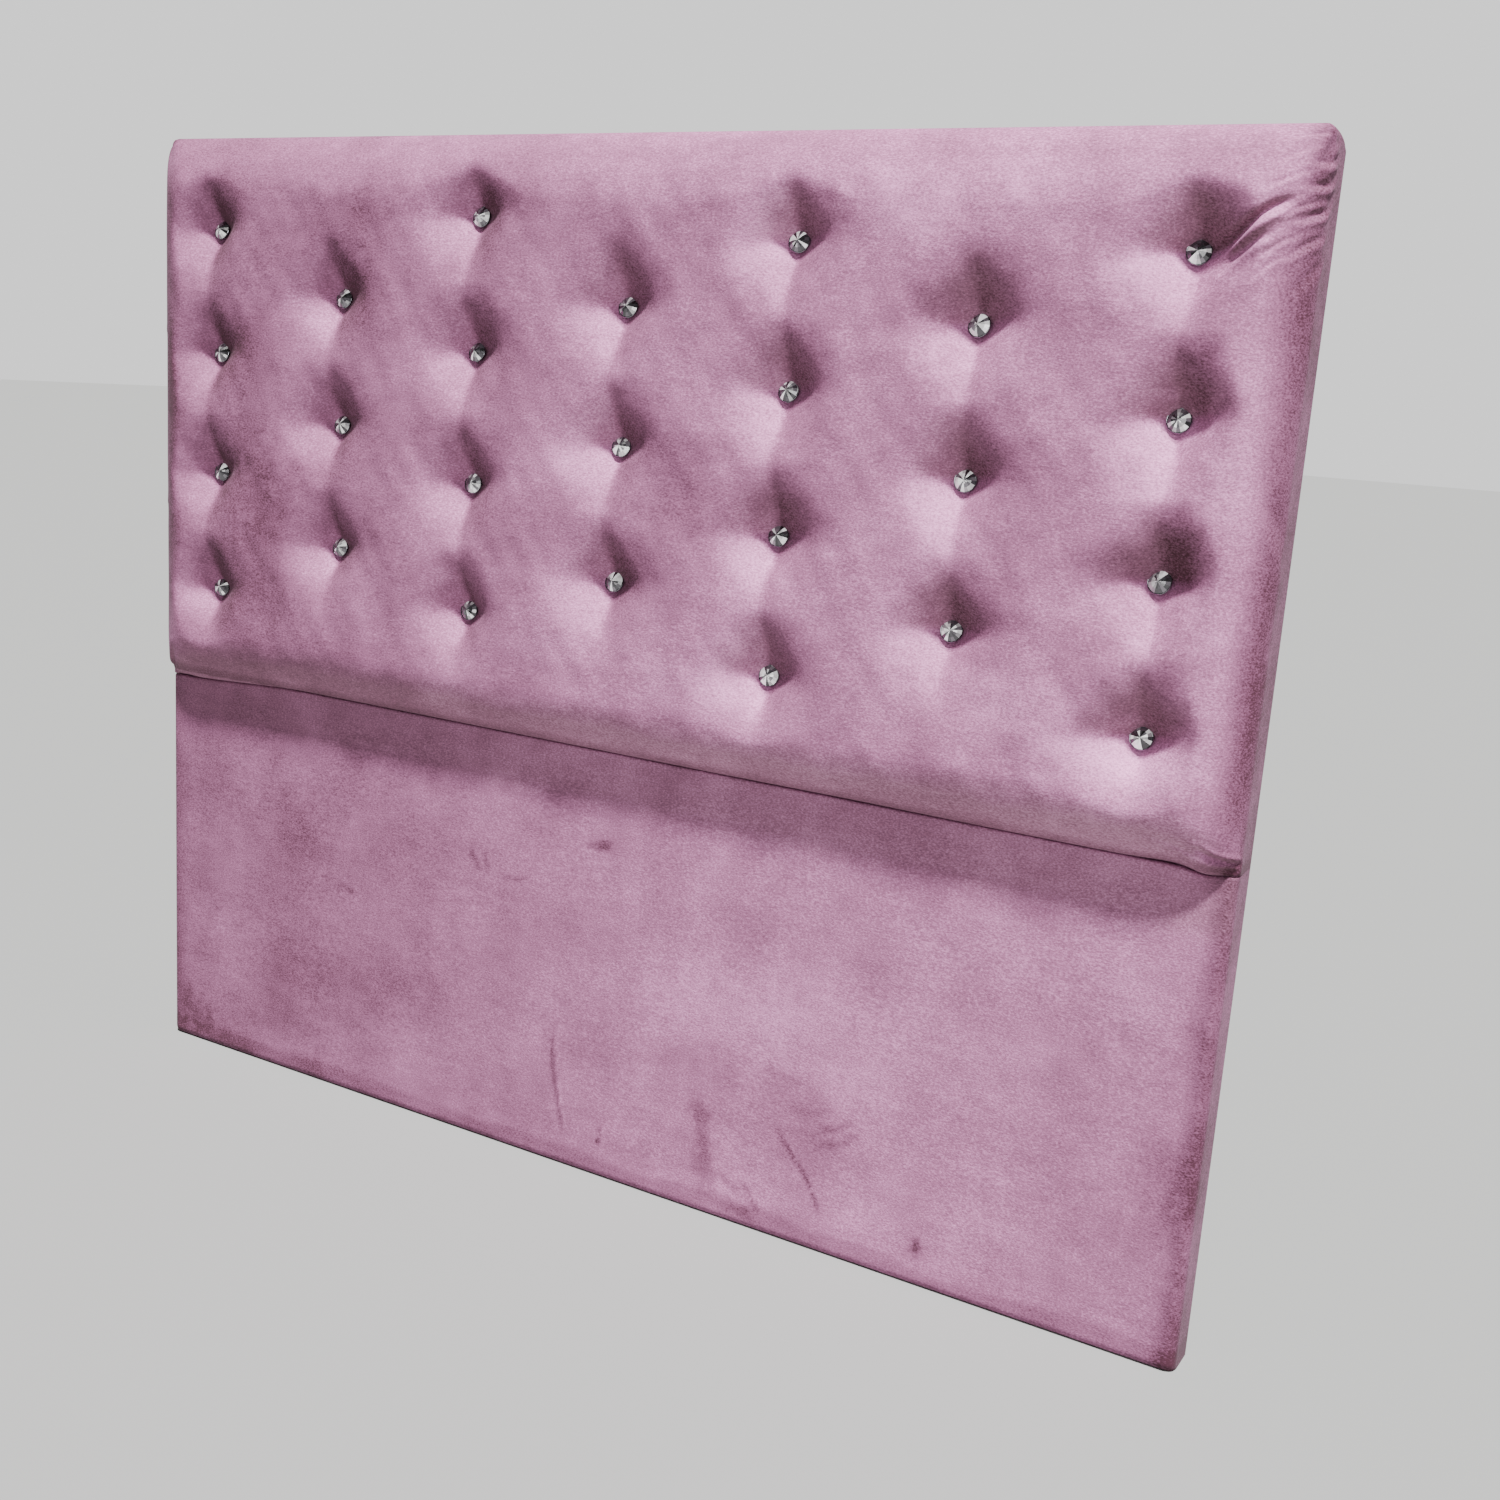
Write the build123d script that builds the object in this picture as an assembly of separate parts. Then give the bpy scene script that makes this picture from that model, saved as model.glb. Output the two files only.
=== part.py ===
from build123d import *

import os
from math import asin, atan, cos, degrees, pi, sin

# Full-height headboard: a deep-buttoned velvet pad over a plain velvet panel.
# Millimetres. X runs along the width, +Y towards the wall, +Z up.
# The origin lies on the floor, under the middle of the headboard's box.

# Overall sizes
overall_width = 1450.0
overall_height = 1200.0
seam_height = 527.0  # floor to the joint between the plain panel and the buttoned pad
base_depth = 48.0  # wall to the face of the plain panel
pad_rise = 40.0  # how far the pad's crown stands in front of the plain panel
overrun = 5.0  # how far a cutter runs past what it cuts

# Cloths
velvet_thickness = 1.2
velvet_slack = 0.3  # room between the velvet and the foam under it
return_width = 40.0  # velvet turned onto the back of the frame
back_cloth_thickness = 0.5
back_cloth_inset = 15.0  # border of velvet that shows round the back cloth

# Timber frame and boards
outer_stile_width = 96.0
mid_stile_width = 150.0
wide_rail_width = 150.0
mid_rail_width = 54.0
mid_rail_half_rows = 2.5  # half rows from the first button down to the middle rail
top_rail_width = 72.0  # narrow enough for the highest knots
frame_thickness = 26.0
board_thickness = 12.0
board_joint = 0.6  # gap between the two boards at the seam
mid_stile_place = 310.0  # middle of the headboard to the middle of each inner stile
corner_block_leg = 36.0
corner_block_thickness = 20.0

# Outline of the pad and of the plain panel
corner_radius = 15.0  # the pad's two top corners, seen from the front
edge_reach = 70.0  # how far in from its edge the pad's crown begins
panel_side_radius = 8.0
panel_seam_radius = 4.0

# Tufting: columns of buttons, every second one set down by half a row
column_count = 7
full_column_rows = 4
side_margin = 105.0  # edge of the pad to the first column
top_margin = 100.0  # top of the pad to the first row
row_spacing = 150.0
column_lifts = (-4.0, -5.0, 17.0, 0.0, -2.5, -2.0, -4.0)  # hand-set columns, off the even rows
tuft_radius = 100.0  # wider than half a row, so that a crease joins two buttons of a column
tuft_depth = 35.25  # crown to the velvet under a button
tuft_floor_radius = 14.2
tuft_rings = 2
tuft_sides = 12

# Crystal buttons: a cut stone with a point, in a metal cup with a wire shank
stone_radius = 12.5
stone_sides = 10
stone_foot_radius = 7.0
stone_seat_height = 4.2  # foot of the stone to its widest line
stone_crown_height = 6.0  # widest line to the point, if it were not blunted
stone_table_depth = 0.5  # how much of the point is cut off
cup_lip = 1.0  # metal round the stone's widest line
cup_floor = 1.0
shank_wire = 1.2
shank_width = 6.0
shank_height = 5.5

# Tufting twine: a hairpin through the shank, knotted behind the board
twine_thickness = 1.2
twine_gap = 0.1
knot_width = 9.0
knot_height = 3.0
hole_sides = 6
cloth_hole_radius = 4.4
board_hole_radius = 3.4

# Seam: both velvets turn in and are tacked to the board under a card strip
lower_flap_height = 20.0
upper_hem_height = 14.0
tack_strip_width = 12.0
tack_strip_thickness = 1.2

# Countersunk screws
screw_sides = 6
screw_head_radius = 4.0
screw_head_height = 3.0
screw_shank_radius = 1.8
frame_screw_length = 22.0
board_screw_length = 25.0

# Planes of the stack, from the wall to the room
back_y = (base_depth + pad_rise) / 2
cloth_y = back_y - back_cloth_thickness
frame_back_y = cloth_y - velvet_thickness
frame_front_y = frame_back_y - frame_thickness
lap_y = (frame_back_y + frame_front_y) / 2
board_front_y = frame_front_y - board_thickness
panel_front_y = back_y - base_depth
crown_y = panel_front_y - pad_rise
flap_y = board_front_y - velvet_thickness
hem_y = flap_y - velvet_thickness
strip_y = hem_y - tack_strip_thickness
tuft_floor_y = crown_y + tuft_depth

# Limits of the timber and of the foam inside the velvet
half_width = overall_width / 2
timber_half_width = half_width - velvet_thickness
timber_top = overall_height - velvet_thickness
foam_inset = velvet_thickness + velvet_slack


def block(x0, x1, y0, y1, z0, z1):
    """A straight block between two values on each axis."""
    return Pos(x0, y0, z0) * Box(x1 - x0, y1 - y0, z1 - z0, align=(Align.MIN,) * 3)


def group(solids):
    """Several separate solids as one node."""
    return Compound(children=list(solids))


def along_z(face, low, high):
    """A face drawn in X and Y, drawn out between two heights."""
    return Pos(0, 0, low) * extrude(face, high - low)


def along_x(face):
    """A face drawn in Z and Y, drawn out past both sides."""
    upright = Plane(origin=(0, 0, 0), x_dir=(0, 0, 1), z_dir=(-1, 0, 0))
    return extrude(upright * face, half_width + overrun, both=True)


def prism_along_y(radius, sides, front, back):
    """A straight many-sided prism about the Y axis."""
    face = Plane.XZ * RegularPolygon(radius, sides)
    return Pos(0, back, 0) * extrude(face, back - front)


def pyramid(radius, top_radius, height, sides):
    """A many-sided prism that stands on Z and narrows or widens evenly."""
    if top_radius > radius:
        return Pos(0, 0, height) * mirror(pyramid(top_radius, radius, height, sides), Plane.XY)
    taper = degrees(atan((radius - top_radius) * cos(pi / sides) / height))
    return extrude(RegularPolygon(radius, sides), height, taper=taper)


def facing_room(shape):
    """Turn a shape that was drawn standing on Z so that its top faces the room."""
    return Rot(90, 0, 0) * shape


def facing_wall(shape):
    """Turn a shape that was drawn standing on Z so that its top faces the wall."""
    return Rot(-90, 0, 0) * shape


# Places of the buttons


def button_columns():
    """The (x, z) of every button, as one list for each column."""
    spacing = (overall_width - 2 * side_margin) / (column_count - 1)
    columns = []
    for number in range(column_count):
        x = side_margin - half_width + number * spacing
        set_down = number % 2
        top = overall_height - top_margin - set_down * row_spacing / 2 + column_lifts[number]
        rows = full_column_rows - set_down
        columns.append([(x, top - row * row_spacing) for row in range(rows)])
    return columns


columns = button_columns()
buttons = [place for column in columns for place in column]


def copies(shape, places):
    """Copies of one shape, drawn about the Y axis, at some (x, z) places."""
    return [Pos(x, 0, z) * shape for x, z in places]


# Forms of the pad and of the plain panel


def crowned_outline(low, high, back, inset):
    """The outline of a pad that bulges to its crown between two sides.

    The first coordinate runs from side to side, the second from the crown to the back.
    """
    radius = (edge_reach**2 + pad_rise**2) / (2 * pad_rise) - inset
    reach = edge_reach - inset
    angle = asin(reach / radius)
    front = crown_y + inset
    side = front + radius * (1 - cos(angle))
    halfway = front + radius * (1 - cos(angle / 2))
    halfway_in = reach - radius * sin(angle / 2)
    left, right = low + inset, high - inset
    outline = Polyline((left, side), (left, back), (right, back), (right, side))
    outline += ThreePointArc((right, side), (right - halfway_in, halfway), (right - reach, front))
    outline += Line((right - reach, front), (left + reach, front))
    outline += ThreePointArc((left + reach, front), (left + halfway_in, halfway), (left, side))
    return make_face(outline)


def rounded_outline(low, high, front, back, low_radius, high_radius):
    """The outline of a flat panel whose front corners are rounded, where they have a radius."""
    face = make_face(Polyline((low, front), (high, front), (high, back), (low, back), close=True))
    for end, radius in ((0, low_radius), (-1, high_radius)):
        if radius > 0:
            face = fillet(face.vertices().group_by(Axis.Y)[0].sort_by(Axis.X)[end], radius)
    return face


def arched_elevation(inset):
    """All that lies within the front outline, with its two rounded top corners."""
    side, top = half_width - inset, overall_height - inset
    face = make_face(
        Polyline((-side, -overrun), (side, -overrun), (side, top), (-side, top), close=True)
    )
    face = fillet(face.vertices().group_by(Axis.Y)[-1], corner_radius - inset)
    return extrude(Plane.XZ * face, base_depth + pad_rise, both=True)


def tuft_cutter():
    """The hollow that a button pulls into the pad, steeper and steeper towards its floor."""
    run = tuft_radius - tuft_floor_radius
    radius = (run**2 + tuft_depth**2) / (2 * tuft_depth)
    steepest = asin(run / radius)
    rings = []
    for ring in range(tuft_rings + 1):
        angle = steepest * ring / tuft_rings
        rings.append((tuft_radius - radius * sin(angle), radius * (1 - cos(angle))))
    cutter = extrude(RegularPolygon(tuft_radius, tuft_sides), -overrun)
    for (wide, top), (narrow, bottom) in zip(rings, rings[1:]):
        cutter += Pos(0, 0, top) * pyramid(wide, narrow, bottom - top, tuft_sides)
    return Pos(0, crown_y, 0) * facing_wall(cutter)


def pad_form(inset, back):
    """The buttoned pad as one solid, drawn in from its velvet face by the inset."""
    plan = crowned_outline(-half_width, half_width, back, inset)
    section = crowned_outline(seam_height, overall_height, back, inset)
    form = along_z(plan, seam_height, overall_height) & along_x(section)
    form = form & arched_elevation(inset)
    return form - copies(Pos(0, inset, 0) * tuft_cutter(), buttons)


def panel_form(inset, back):
    """The plain panel as one solid, drawn in from its velvet face by the inset."""
    front = panel_front_y + inset
    side, seam = panel_side_radius - inset, panel_seam_radius - inset
    plan = rounded_outline(inset - half_width, half_width - inset, front, back, side, side)
    section = rounded_outline(inset, seam_height - inset, front, back, 0, seam)
    return along_z(plan, 0, seam_height) & along_x(section)


# Velvets


def upper_cover():
    """Velvet over the pad: open at the back between its returns, with a hem at the seam."""
    cover = pad_form(0, cloth_y) - pad_form(velvet_thickness, frame_back_y)
    inner = half_width - return_width
    below = seam_height - overrun
    cover -= block(-inner, inner, lap_y, back_y, below, overall_height - return_width)
    inner = timber_half_width
    cover -= block(-inner, inner, flap_y, frame_back_y, below, seam_height + velvet_thickness)
    cover += block(-inner, inner, hem_y, flap_y, seam_height, seam_height + upper_hem_height)
    hole = prism_along_y(cloth_hole_radius, hole_sides, tuft_floor_y - overrun, board_front_y)
    return cover - copies(hole, buttons)


def lower_cover():
    """Velvet over the plain panel, with a flap that runs up onto the upper board."""
    cover = panel_form(0, cloth_y) - panel_form(velvet_thickness, frame_back_y)
    inner = half_width - return_width
    above = seam_height + overrun
    cover -= block(-inner, inner, lap_y, back_y, return_width, above)
    inner = timber_half_width
    turned_in = seam_height - velvet_thickness
    cover -= block(-inner, inner, board_front_y, frame_back_y, turned_in, above)
    flap_top = seam_height + lower_flap_height
    return cover + block(-inner, inner, flap_y, board_front_y, turned_in, flap_top)


# Foams


def before_board(form):
    """The part of a form that lies in front of the boards."""
    return form & block(-half_width, half_width, crown_y, board_front_y, 0, overall_height)


def upper_foam():
    """Foam of the pad, glued to the upper board and notched over the tacked seam."""
    foam = before_board(pad_form(foam_inset, frame_back_y))
    notch_top = seam_height + lower_flap_height + velvet_slack
    notch_front = strip_y - velvet_slack
    foam -= block(-half_width, half_width, notch_front, board_front_y, seam_height, notch_top)
    hole = prism_along_y(cloth_hole_radius, hole_sides, tuft_floor_y - overrun, back_y)
    return foam - copies(hole, buttons)


def lower_foam():
    """Thin foam of the plain panel."""
    return before_board(panel_form(foam_inset, frame_back_y))


def seam_tack_strip():
    """Card strip that holds both velvets to the board along the seam."""
    side = timber_half_width - velvet_slack
    bottom = seam_height + foam_inset
    return block(-side, side, strip_y, hem_y, bottom, bottom + tack_strip_width)


# Screws


def screw(length):
    """A countersunk screw that stands on Z with its head at the bottom, face down."""
    head = pyramid(screw_head_radius, screw_shank_radius, screw_head_height, screw_sides)
    return head + extrude(RegularPolygon(screw_shank_radius, screw_sides), length)


outer_stile_place = timber_half_width - outer_stile_width / 2
stile_places = {
    "stile_left": (-outer_stile_place, outer_stile_width),
    "mid_stile_left": (-mid_stile_place, mid_stile_width),
    "mid_stile_right": (mid_stile_place, mid_stile_width),
    "stile_right": (outer_stile_place, outer_stile_width),
}
rail_places = {
    "bottom_rail": (velvet_thickness + wide_rail_width / 2, wide_rail_width),
    "seam_rail": (seam_height, wide_rail_width),
    "mid_rail": (
        overall_height - top_margin - mid_rail_half_rows * row_spacing / 2,
        mid_rail_width,
    ),
    "top_rail": (timber_top - top_rail_width / 2, top_rail_width),
}
outer_rails = ("bottom_rail", "seam_rail", "top_rail")


def lap_places():
    """Where a screw from the back holds a lap of the frame. The middle rail is only glued."""
    return [(x, rail_places[name][0]) for x, _ in stile_places.values() for name in outer_rails]


def board_screw_places():
    """Where the boards are screwed to the rails, between the stiles."""
    stiles = [x for x, _ in stile_places.values()]
    bottom, seam, top = (rail_places[name][0] for name in outer_rails)
    rows = (bottom, seam - wide_rail_width / 4, seam + wide_rail_width / 4, top)
    return [((a + b) / 2, z) for a, b in zip(stiles, stiles[1:]) for z in rows]


def frame_screws():
    """Screws of the laps, heads flush with the back of the frame."""
    shape = Pos(0, frame_back_y, 0) * facing_room(screw(frame_screw_length))
    return copies(shape, lap_places())


def board_screws():
    """Screws of the boards, heads flush with their front faces."""
    shape = Pos(0, board_front_y, 0) * facing_wall(screw(board_screw_length))
    return copies(shape, board_screw_places())


# Timber


def stile(x, width):
    """An upright of the frame, halved at its front for each rail."""
    left, right = x - width / 2, x + width / 2
    bar = block(left, right, frame_front_y, frame_back_y, velvet_thickness, timber_top)
    for z, rail_width in rail_places.values():
        low, high = z - rail_width / 2, z + rail_width / 2
        bar -= block(left, right, frame_front_y - overrun, lap_y, low, high)
    return bar


def rail(z, width):
    """A cross member of the frame, halved at its back for each stile."""
    low, high = z - width / 2, z + width / 2
    side = timber_half_width
    bar = block(-side, side, frame_front_y, frame_back_y, low, high)
    for x, stile_width in stile_places.values():
        left, right = x - stile_width / 2, x + stile_width / 2
        bar -= block(left, right, lap_y, frame_back_y + overrun, low, high)
    return bar


def corner_block(side, rail_name):
    """A three-sided block glued into the corner between a rail and an outer stile."""
    x = side * (timber_half_width - outer_stile_width)
    middle, width = rail_places[rail_name]
    z = middle + width / 2
    leg = corner_block_leg
    outline = Polyline((x, z), (x - side * leg, z), (x, z + leg), close=True)
    back = frame_front_y + corner_block_thickness
    return Pos(0, back, 0) * extrude(Plane.XZ * make_face(outline), corner_block_thickness)


def board(low, high):
    """A sheet of board on the front of the frame."""
    return block(-timber_half_width, timber_half_width, board_front_y, frame_front_y, low, high)


def timber():
    """Every wooden piece by name, drilled for its screws and rounded at the top corners."""
    pieces = {name: stile(x, width) for name, (x, width) in stile_places.items()}
    pieces |= {name: rail(z, width) for name, (z, width) in rail_places.items()}
    pieces["upper_board"] = board(seam_height + board_joint / 2, timber_top)
    pieces["lower_board"] = board(velvet_thickness, seam_height - board_joint / 2)
    hole = prism_along_y(board_hole_radius, hole_sides, crown_y, back_y)
    pieces["upper_board"] -= copies(hole, buttons)
    rounding = arched_elevation(velvet_thickness)
    screws = frame_screws() + board_screws()
    drilled = {name: (piece & rounding) - screws for name, piece in pieces.items()}
    for level, rail_name in (("upper", "seam_rail"), ("lower", "bottom_rail")):
        for hand, side in (("left", -1), ("right", 1)):
            drilled[f"{level}_corner_block_{hand}"] = corner_block(side, rail_name)
    return drilled


# Buttons and twine


def stone():
    """A cut stone that stands on Z: a seat, steep facets at the edge and flat ones to its point."""
    seat = pyramid(stone_foot_radius, stone_radius, stone_seat_height, stone_sides)
    crown_height = stone_crown_height - stone_table_depth
    steep = pyramid(stone_radius, stone_radius - crown_height, crown_height, stone_sides)
    reach = stone_radius + stone_crown_height / 2
    table = reach * stone_table_depth / stone_crown_height
    half_step = degrees(pi / stone_sides)
    flat = Rot(0, 0, half_step) * pyramid(reach, table, crown_height, stone_sides)
    return seat + Pos(0, 0, stone_seat_height) * (steep & flat)


def cup():
    """A metal cup that stands on Z and holds the stone up to its widest line."""
    height = cup_floor + stone_seat_height
    shell = pyramid(stone_foot_radius + cup_lip, stone_radius + cup_lip, height, stone_sides)
    return shell - Pos(0, 0, cup_floor) * stone()


def hairpin(width, height, wire):
    """A square wire bent to a U: its bend on top of Z, its legs apart along X."""
    half = width / 2
    outer = block(-half, half, -wire / 2, wire / 2, 0, height)
    inner = half - wire
    return outer - block(-inner, inner, -wire, wire, -wire, height - wire)


def stones(places):
    """The stones at some buttons."""
    shape = Pos(0, tuft_floor_y - cup_floor, 0) * facing_room(stone())
    return group(copies(shape, places))


def cups(places):
    """The cups at some buttons, on the velvet floor of their tufts."""
    return group(copies(Pos(0, tuft_floor_y, 0) * facing_room(cup()), places))


def shanks():
    """A wire loop behind each cup."""
    loop = facing_wall(hairpin(shank_width, shank_height, shank_wire))
    return group(copies(Pos(0, tuft_floor_y, 0) * loop, buttons))


def twine():
    """Twine through each shank and the board, tied off in a knot behind it."""
    width = shank_wire + 2 * (twine_thickness + twine_gap)
    bend_y = tuft_floor_y + shank_height - shank_wire - twine_gap - twine_thickness
    length = frame_front_y - bend_y
    strands = Rot(0, 90, 0) * facing_room(hairpin(width, length, twine_thickness))
    strands = Pos(0, frame_front_y, 0) * strands
    half = knot_width / 2
    knot = block(-half, half, frame_front_y, frame_front_y + knot_height, -half, half)
    return group(copies(strands + knot, buttons))


def back_cloth():
    """Dark cloth stapled over the back of the frame and the edges of the velvet."""
    side = half_width - back_cloth_inset
    top = overall_height - back_cloth_inset
    return block(-side, side, cloth_y, back_y, back_cloth_inset, top)


def headboard():
    """Every node by its name."""
    nodes = timber()
    nodes["frame_screws"] = group(frame_screws())
    nodes["board_screws"] = group(board_screws())
    nodes["upper_foam"] = upper_foam()
    nodes["lower_foam"] = lower_foam()
    nodes["upper_cover"] = upper_cover()
    nodes["lower_cover"] = lower_cover()
    nodes["seam_tack_strip"] = seam_tack_strip()
    for number, column in enumerate(columns, start=1):
        nodes[f"button_cups_column_{number}"] = cups(column)
        nodes[f"button_stones_column_{number}"] = stones(column)
    nodes["button_shanks"] = shanks()
    nodes["tufting_twine"] = twine()
    nodes["back_cloth"] = back_cloth()
    return nodes


os.makedirs("parts", exist_ok=True)
for name, shape in headboard().items():
    export_step(shape, f"parts/{name}.step")
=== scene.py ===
"""Looks of a full-height headboard: a deep-buttoned velvet pad over a plain velvet panel."""

from math import cos, pi, radians, sin, tau

import bmesh
import bpy
import numpy as np
from mathutils import Matrix, Vector


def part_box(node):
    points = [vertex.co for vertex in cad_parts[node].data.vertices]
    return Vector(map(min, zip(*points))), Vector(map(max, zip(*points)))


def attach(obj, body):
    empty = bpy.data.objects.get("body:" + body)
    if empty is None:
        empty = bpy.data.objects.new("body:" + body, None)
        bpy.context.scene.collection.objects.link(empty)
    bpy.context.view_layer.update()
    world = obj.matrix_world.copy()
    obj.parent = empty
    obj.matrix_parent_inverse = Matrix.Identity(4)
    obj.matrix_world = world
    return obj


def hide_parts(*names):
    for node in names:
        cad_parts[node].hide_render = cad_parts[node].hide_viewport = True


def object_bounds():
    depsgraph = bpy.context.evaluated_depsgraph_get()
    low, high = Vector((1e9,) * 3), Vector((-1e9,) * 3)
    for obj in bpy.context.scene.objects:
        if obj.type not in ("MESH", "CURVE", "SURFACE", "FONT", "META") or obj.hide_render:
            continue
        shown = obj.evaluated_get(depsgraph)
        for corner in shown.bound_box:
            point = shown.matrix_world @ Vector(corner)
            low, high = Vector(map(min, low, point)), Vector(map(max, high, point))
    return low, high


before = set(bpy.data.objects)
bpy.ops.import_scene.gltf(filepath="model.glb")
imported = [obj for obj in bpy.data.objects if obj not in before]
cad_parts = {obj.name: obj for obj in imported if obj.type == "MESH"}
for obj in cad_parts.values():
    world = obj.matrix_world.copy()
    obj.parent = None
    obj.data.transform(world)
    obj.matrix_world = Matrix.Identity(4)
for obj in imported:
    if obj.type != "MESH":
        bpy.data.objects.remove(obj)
cad_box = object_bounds()

bl_info = {
    "name": "Tufted Headboard",
    "version": (1, 0, 0),
    "blender": (4, 5, 0),
    "location": "View3D > Sidebar > Headboard",
    "description": "Dresses the headboard's frame in velvet, crystal and chrome",
    "category": "Add Mesh",
}

# Where the frame says that things are, in metres
HALF_WIDTH = cad_box[1].x
TOP_Z = cad_box[1].z
BACK_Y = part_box("back_cloth")[0].y
SEAM_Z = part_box("upper_cover")[0].z
PANEL_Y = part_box("lower_cover")[0].y
CROWN_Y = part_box("upper_cover")[0].y
BOARD_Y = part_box("upper_board")[0].y
COLUMNS = range(1, 8)
ROW_STEP = 0.150

WALL = 0.0012  # the velvet's thickness
BACK_TURN = 0.040  # velvet turned onto the back of the timber


def column_buttons(column):
    """The centres of one column's buttons, from the top down, as (x, z)."""
    low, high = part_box(f"button_stones_column_{column}")
    count = round((high.z - low.z) / ROW_STEP) + 1
    x, middle = (low.x + high.x) / 2, (low.z + high.z) / 2
    return [(x, middle + ((count - 1) / 2 - k) * ROW_STEP) for k in range(count)]


BUTTONS = {column: column_buttons(column) for column in COLUMNS}


# ---------------------------------------------------------------- settings


def length(name, description, default, low=0.0, high=0.2):
    """A size that a user may change, in metres."""
    return bpy.props.FloatProperty(
        name=name,
        description=description,
        default=default,
        min=low,
        max=high,
        subtype="DISTANCE",
        unit="LENGTH",
        precision=4,
    )


def linear(code):
    """An sRGB hex colour as the linear values that a shader reads."""
    values = [int(code[i : i + 2], 16) / 255 for i in (1, 3, 5)]
    return [v / 12.92 if v <= 0.04045 else ((v + 0.055) / 1.055) ** 2.4 for v in values]


def colour(name, description, code):
    """A colour that a user may change."""
    return bpy.props.FloatVectorProperty(
        name=name,
        description=description,
        default=linear(code),
        min=0.0,
        max=1.0,
        size=3,
        subtype="COLOR",
    )


class HeadboardPad(bpy.types.PropertyGroup):
    """Sizes of the buttoned pad."""

    mesh_step: length("Mesh step", "Distance between the pad's mesh lines", 0.004, 0.001)
    fine_step: length("Fine mesh step", "Mesh step where the cloth is gathered", 0.002, 0.001)
    edge_reach: length("Edge reach", "How far in from an edge the crown begins", 0.070)
    rim: length("Rim", "Rounding where the front turns into the sides", 0.008)
    seam_rim: length("Seam rim", "Rounding where the front turns into the seam", 0.0045)
    corner: length("Corner", "Rounding of the two top corners, seen from the front", 0.0100)
    tuft_reach: length("Tuft reach", "How far from a button the velvet is pulled in", 0.122)
    valley_depth: length("Valley depth", "Depth of the crease between two buttons", 0.0036)
    valley_width: length("Valley width", "How far the crease between two buttons fades", 0.016)
    waves: length("Waves", "Height of the foam's slow unevenness", 0.0010)


class HeadboardPanel(bpy.types.PropertyGroup):
    """Sizes of the plain panel."""

    mesh_step: length("Mesh step", "Distance between the panel's mesh lines", 0.004, 0.001)
    rim: length("Rim", "Rounding of the panel's sides", 0.012)
    foot_rim: length("Foot rim", "Rounding of the panel's foot", 0.010)
    seam_rim: length("Seam rim", "Rounding where the panel turns into the seam", 0.0035)
    waves: length("Waves", "Height of the board's slow unevenness", 0.0004)


class HeadboardButtons(bpy.types.PropertyGroup):
    """Sizes of the crystal buttons."""

    facets: bpy.props.IntProperty(
        name="Facets", description="Wedges round a crystal", default=16, min=8, max=32
    )
    tilt: bpy.props.FloatProperty(
        name="Tilt",
        description="How far the pulled velvet tips a button up",
        default=radians(14),
        subtype="ANGLE",
        unit="ROTATION",
    )


class HeadboardColours(bpy.types.PropertyGroup):
    """Colours of the cloths and of the room."""

    # The pile tones are also the ends of the painted light and shade in the nap attribute
    pile_deep: colour("Deep pile", "Velvet brushed away from the eye", "#4a2836")
    pile_mid: colour("Middle pile", "Velvet as it lies", "#9c6386")
    pile_pale: colour("Pale pile", "Velvet brushed towards the eye", "#ea9dd1")
    # Painted shade: tint of faces that turn down and of the shadow under the pad
    painted_shade_tint: colour("Under pile", "Tint of faces that turn down", "#e7f9e2")
    sheen: colour("Sheen", "Tint of the pile's tips", "#f3dcea")
    back_cloth: colour("Back cloth", "Spun cloth on the back", "#2b2a2d")
    timber: colour("Timber", "Sawn pine", "#c9a273")
    floor: colour("Floor", "Plain floor of the studio", "#888887")
    sky: colour("Studio light", "Colour of the soft light all round", "#f7fff0")


# ---------------------------------------------------------------- materials


def add(material, kind, settings=None, links=None, stops=()):
    """Adds one node with its settings and, on a ramp, its stops, and links sockets into it."""
    node = material.node_tree.nodes.new(kind)
    for name, value in (settings or {}).items():
        if isinstance(name, str) and name in node.bl_rna.properties:
            setattr(node, name, value)
        else:
            node.inputs[name].default_value = value
    points = node.color_ramp.elements if stops else ()
    while len(points) < len(stops):
        points.new(0.5)
    for point, (place, value) in zip(points, stops):
        point.position = place
        point.color = (*value, 1.0)
    for name, source in (links or {}).items():
        material.node_tree.links.new(source, node.inputs[name])
    return node


def new_material(name):
    """An empty material, with its output node."""
    material = bpy.data.materials.new(name)
    material.use_nodes = True
    material.node_tree.nodes.clear()
    return material, add(material, "ShaderNodeOutputMaterial")


def grain(material, place, scale, detail=2.0, roughness=0.5, stretch=(1, 1, 1)):
    """A grey grain with spots of about 1/scale metres, drawn out by stretch."""
    moved = add(
        material, "ShaderNodeMapping", {"Scale": stretch}, {"Vector": place.outputs["Object"]}
    )
    made = add(
        material,
        "ShaderNodeTexNoise",
        {"Scale": scale, "Detail": detail, "Roughness": roughness},
        {"Vector": moved.outputs[0]},
    )
    return made.outputs["Fac"]


def weigh(material, parts, start):
    """start plus each grey output times its weight, counted from its middle."""
    total = None
    for source, weight in parts:
        node = add(
            material, "ShaderNodeMath", {"operation": "MULTIPLY_ADD", 1: weight}, {0: source}
        )
        if total is None:
            node.inputs[2].default_value = start - weight * 0.5
        else:
            centred = add(
                material, "ShaderNodeMath", {"operation": "SUBTRACT", 1: weight * 0.5}, {0: total}
            )
            material.node_tree.links.new(centred.outputs[0], node.inputs[2])
        total = node.outputs[0]
    return total


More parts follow.
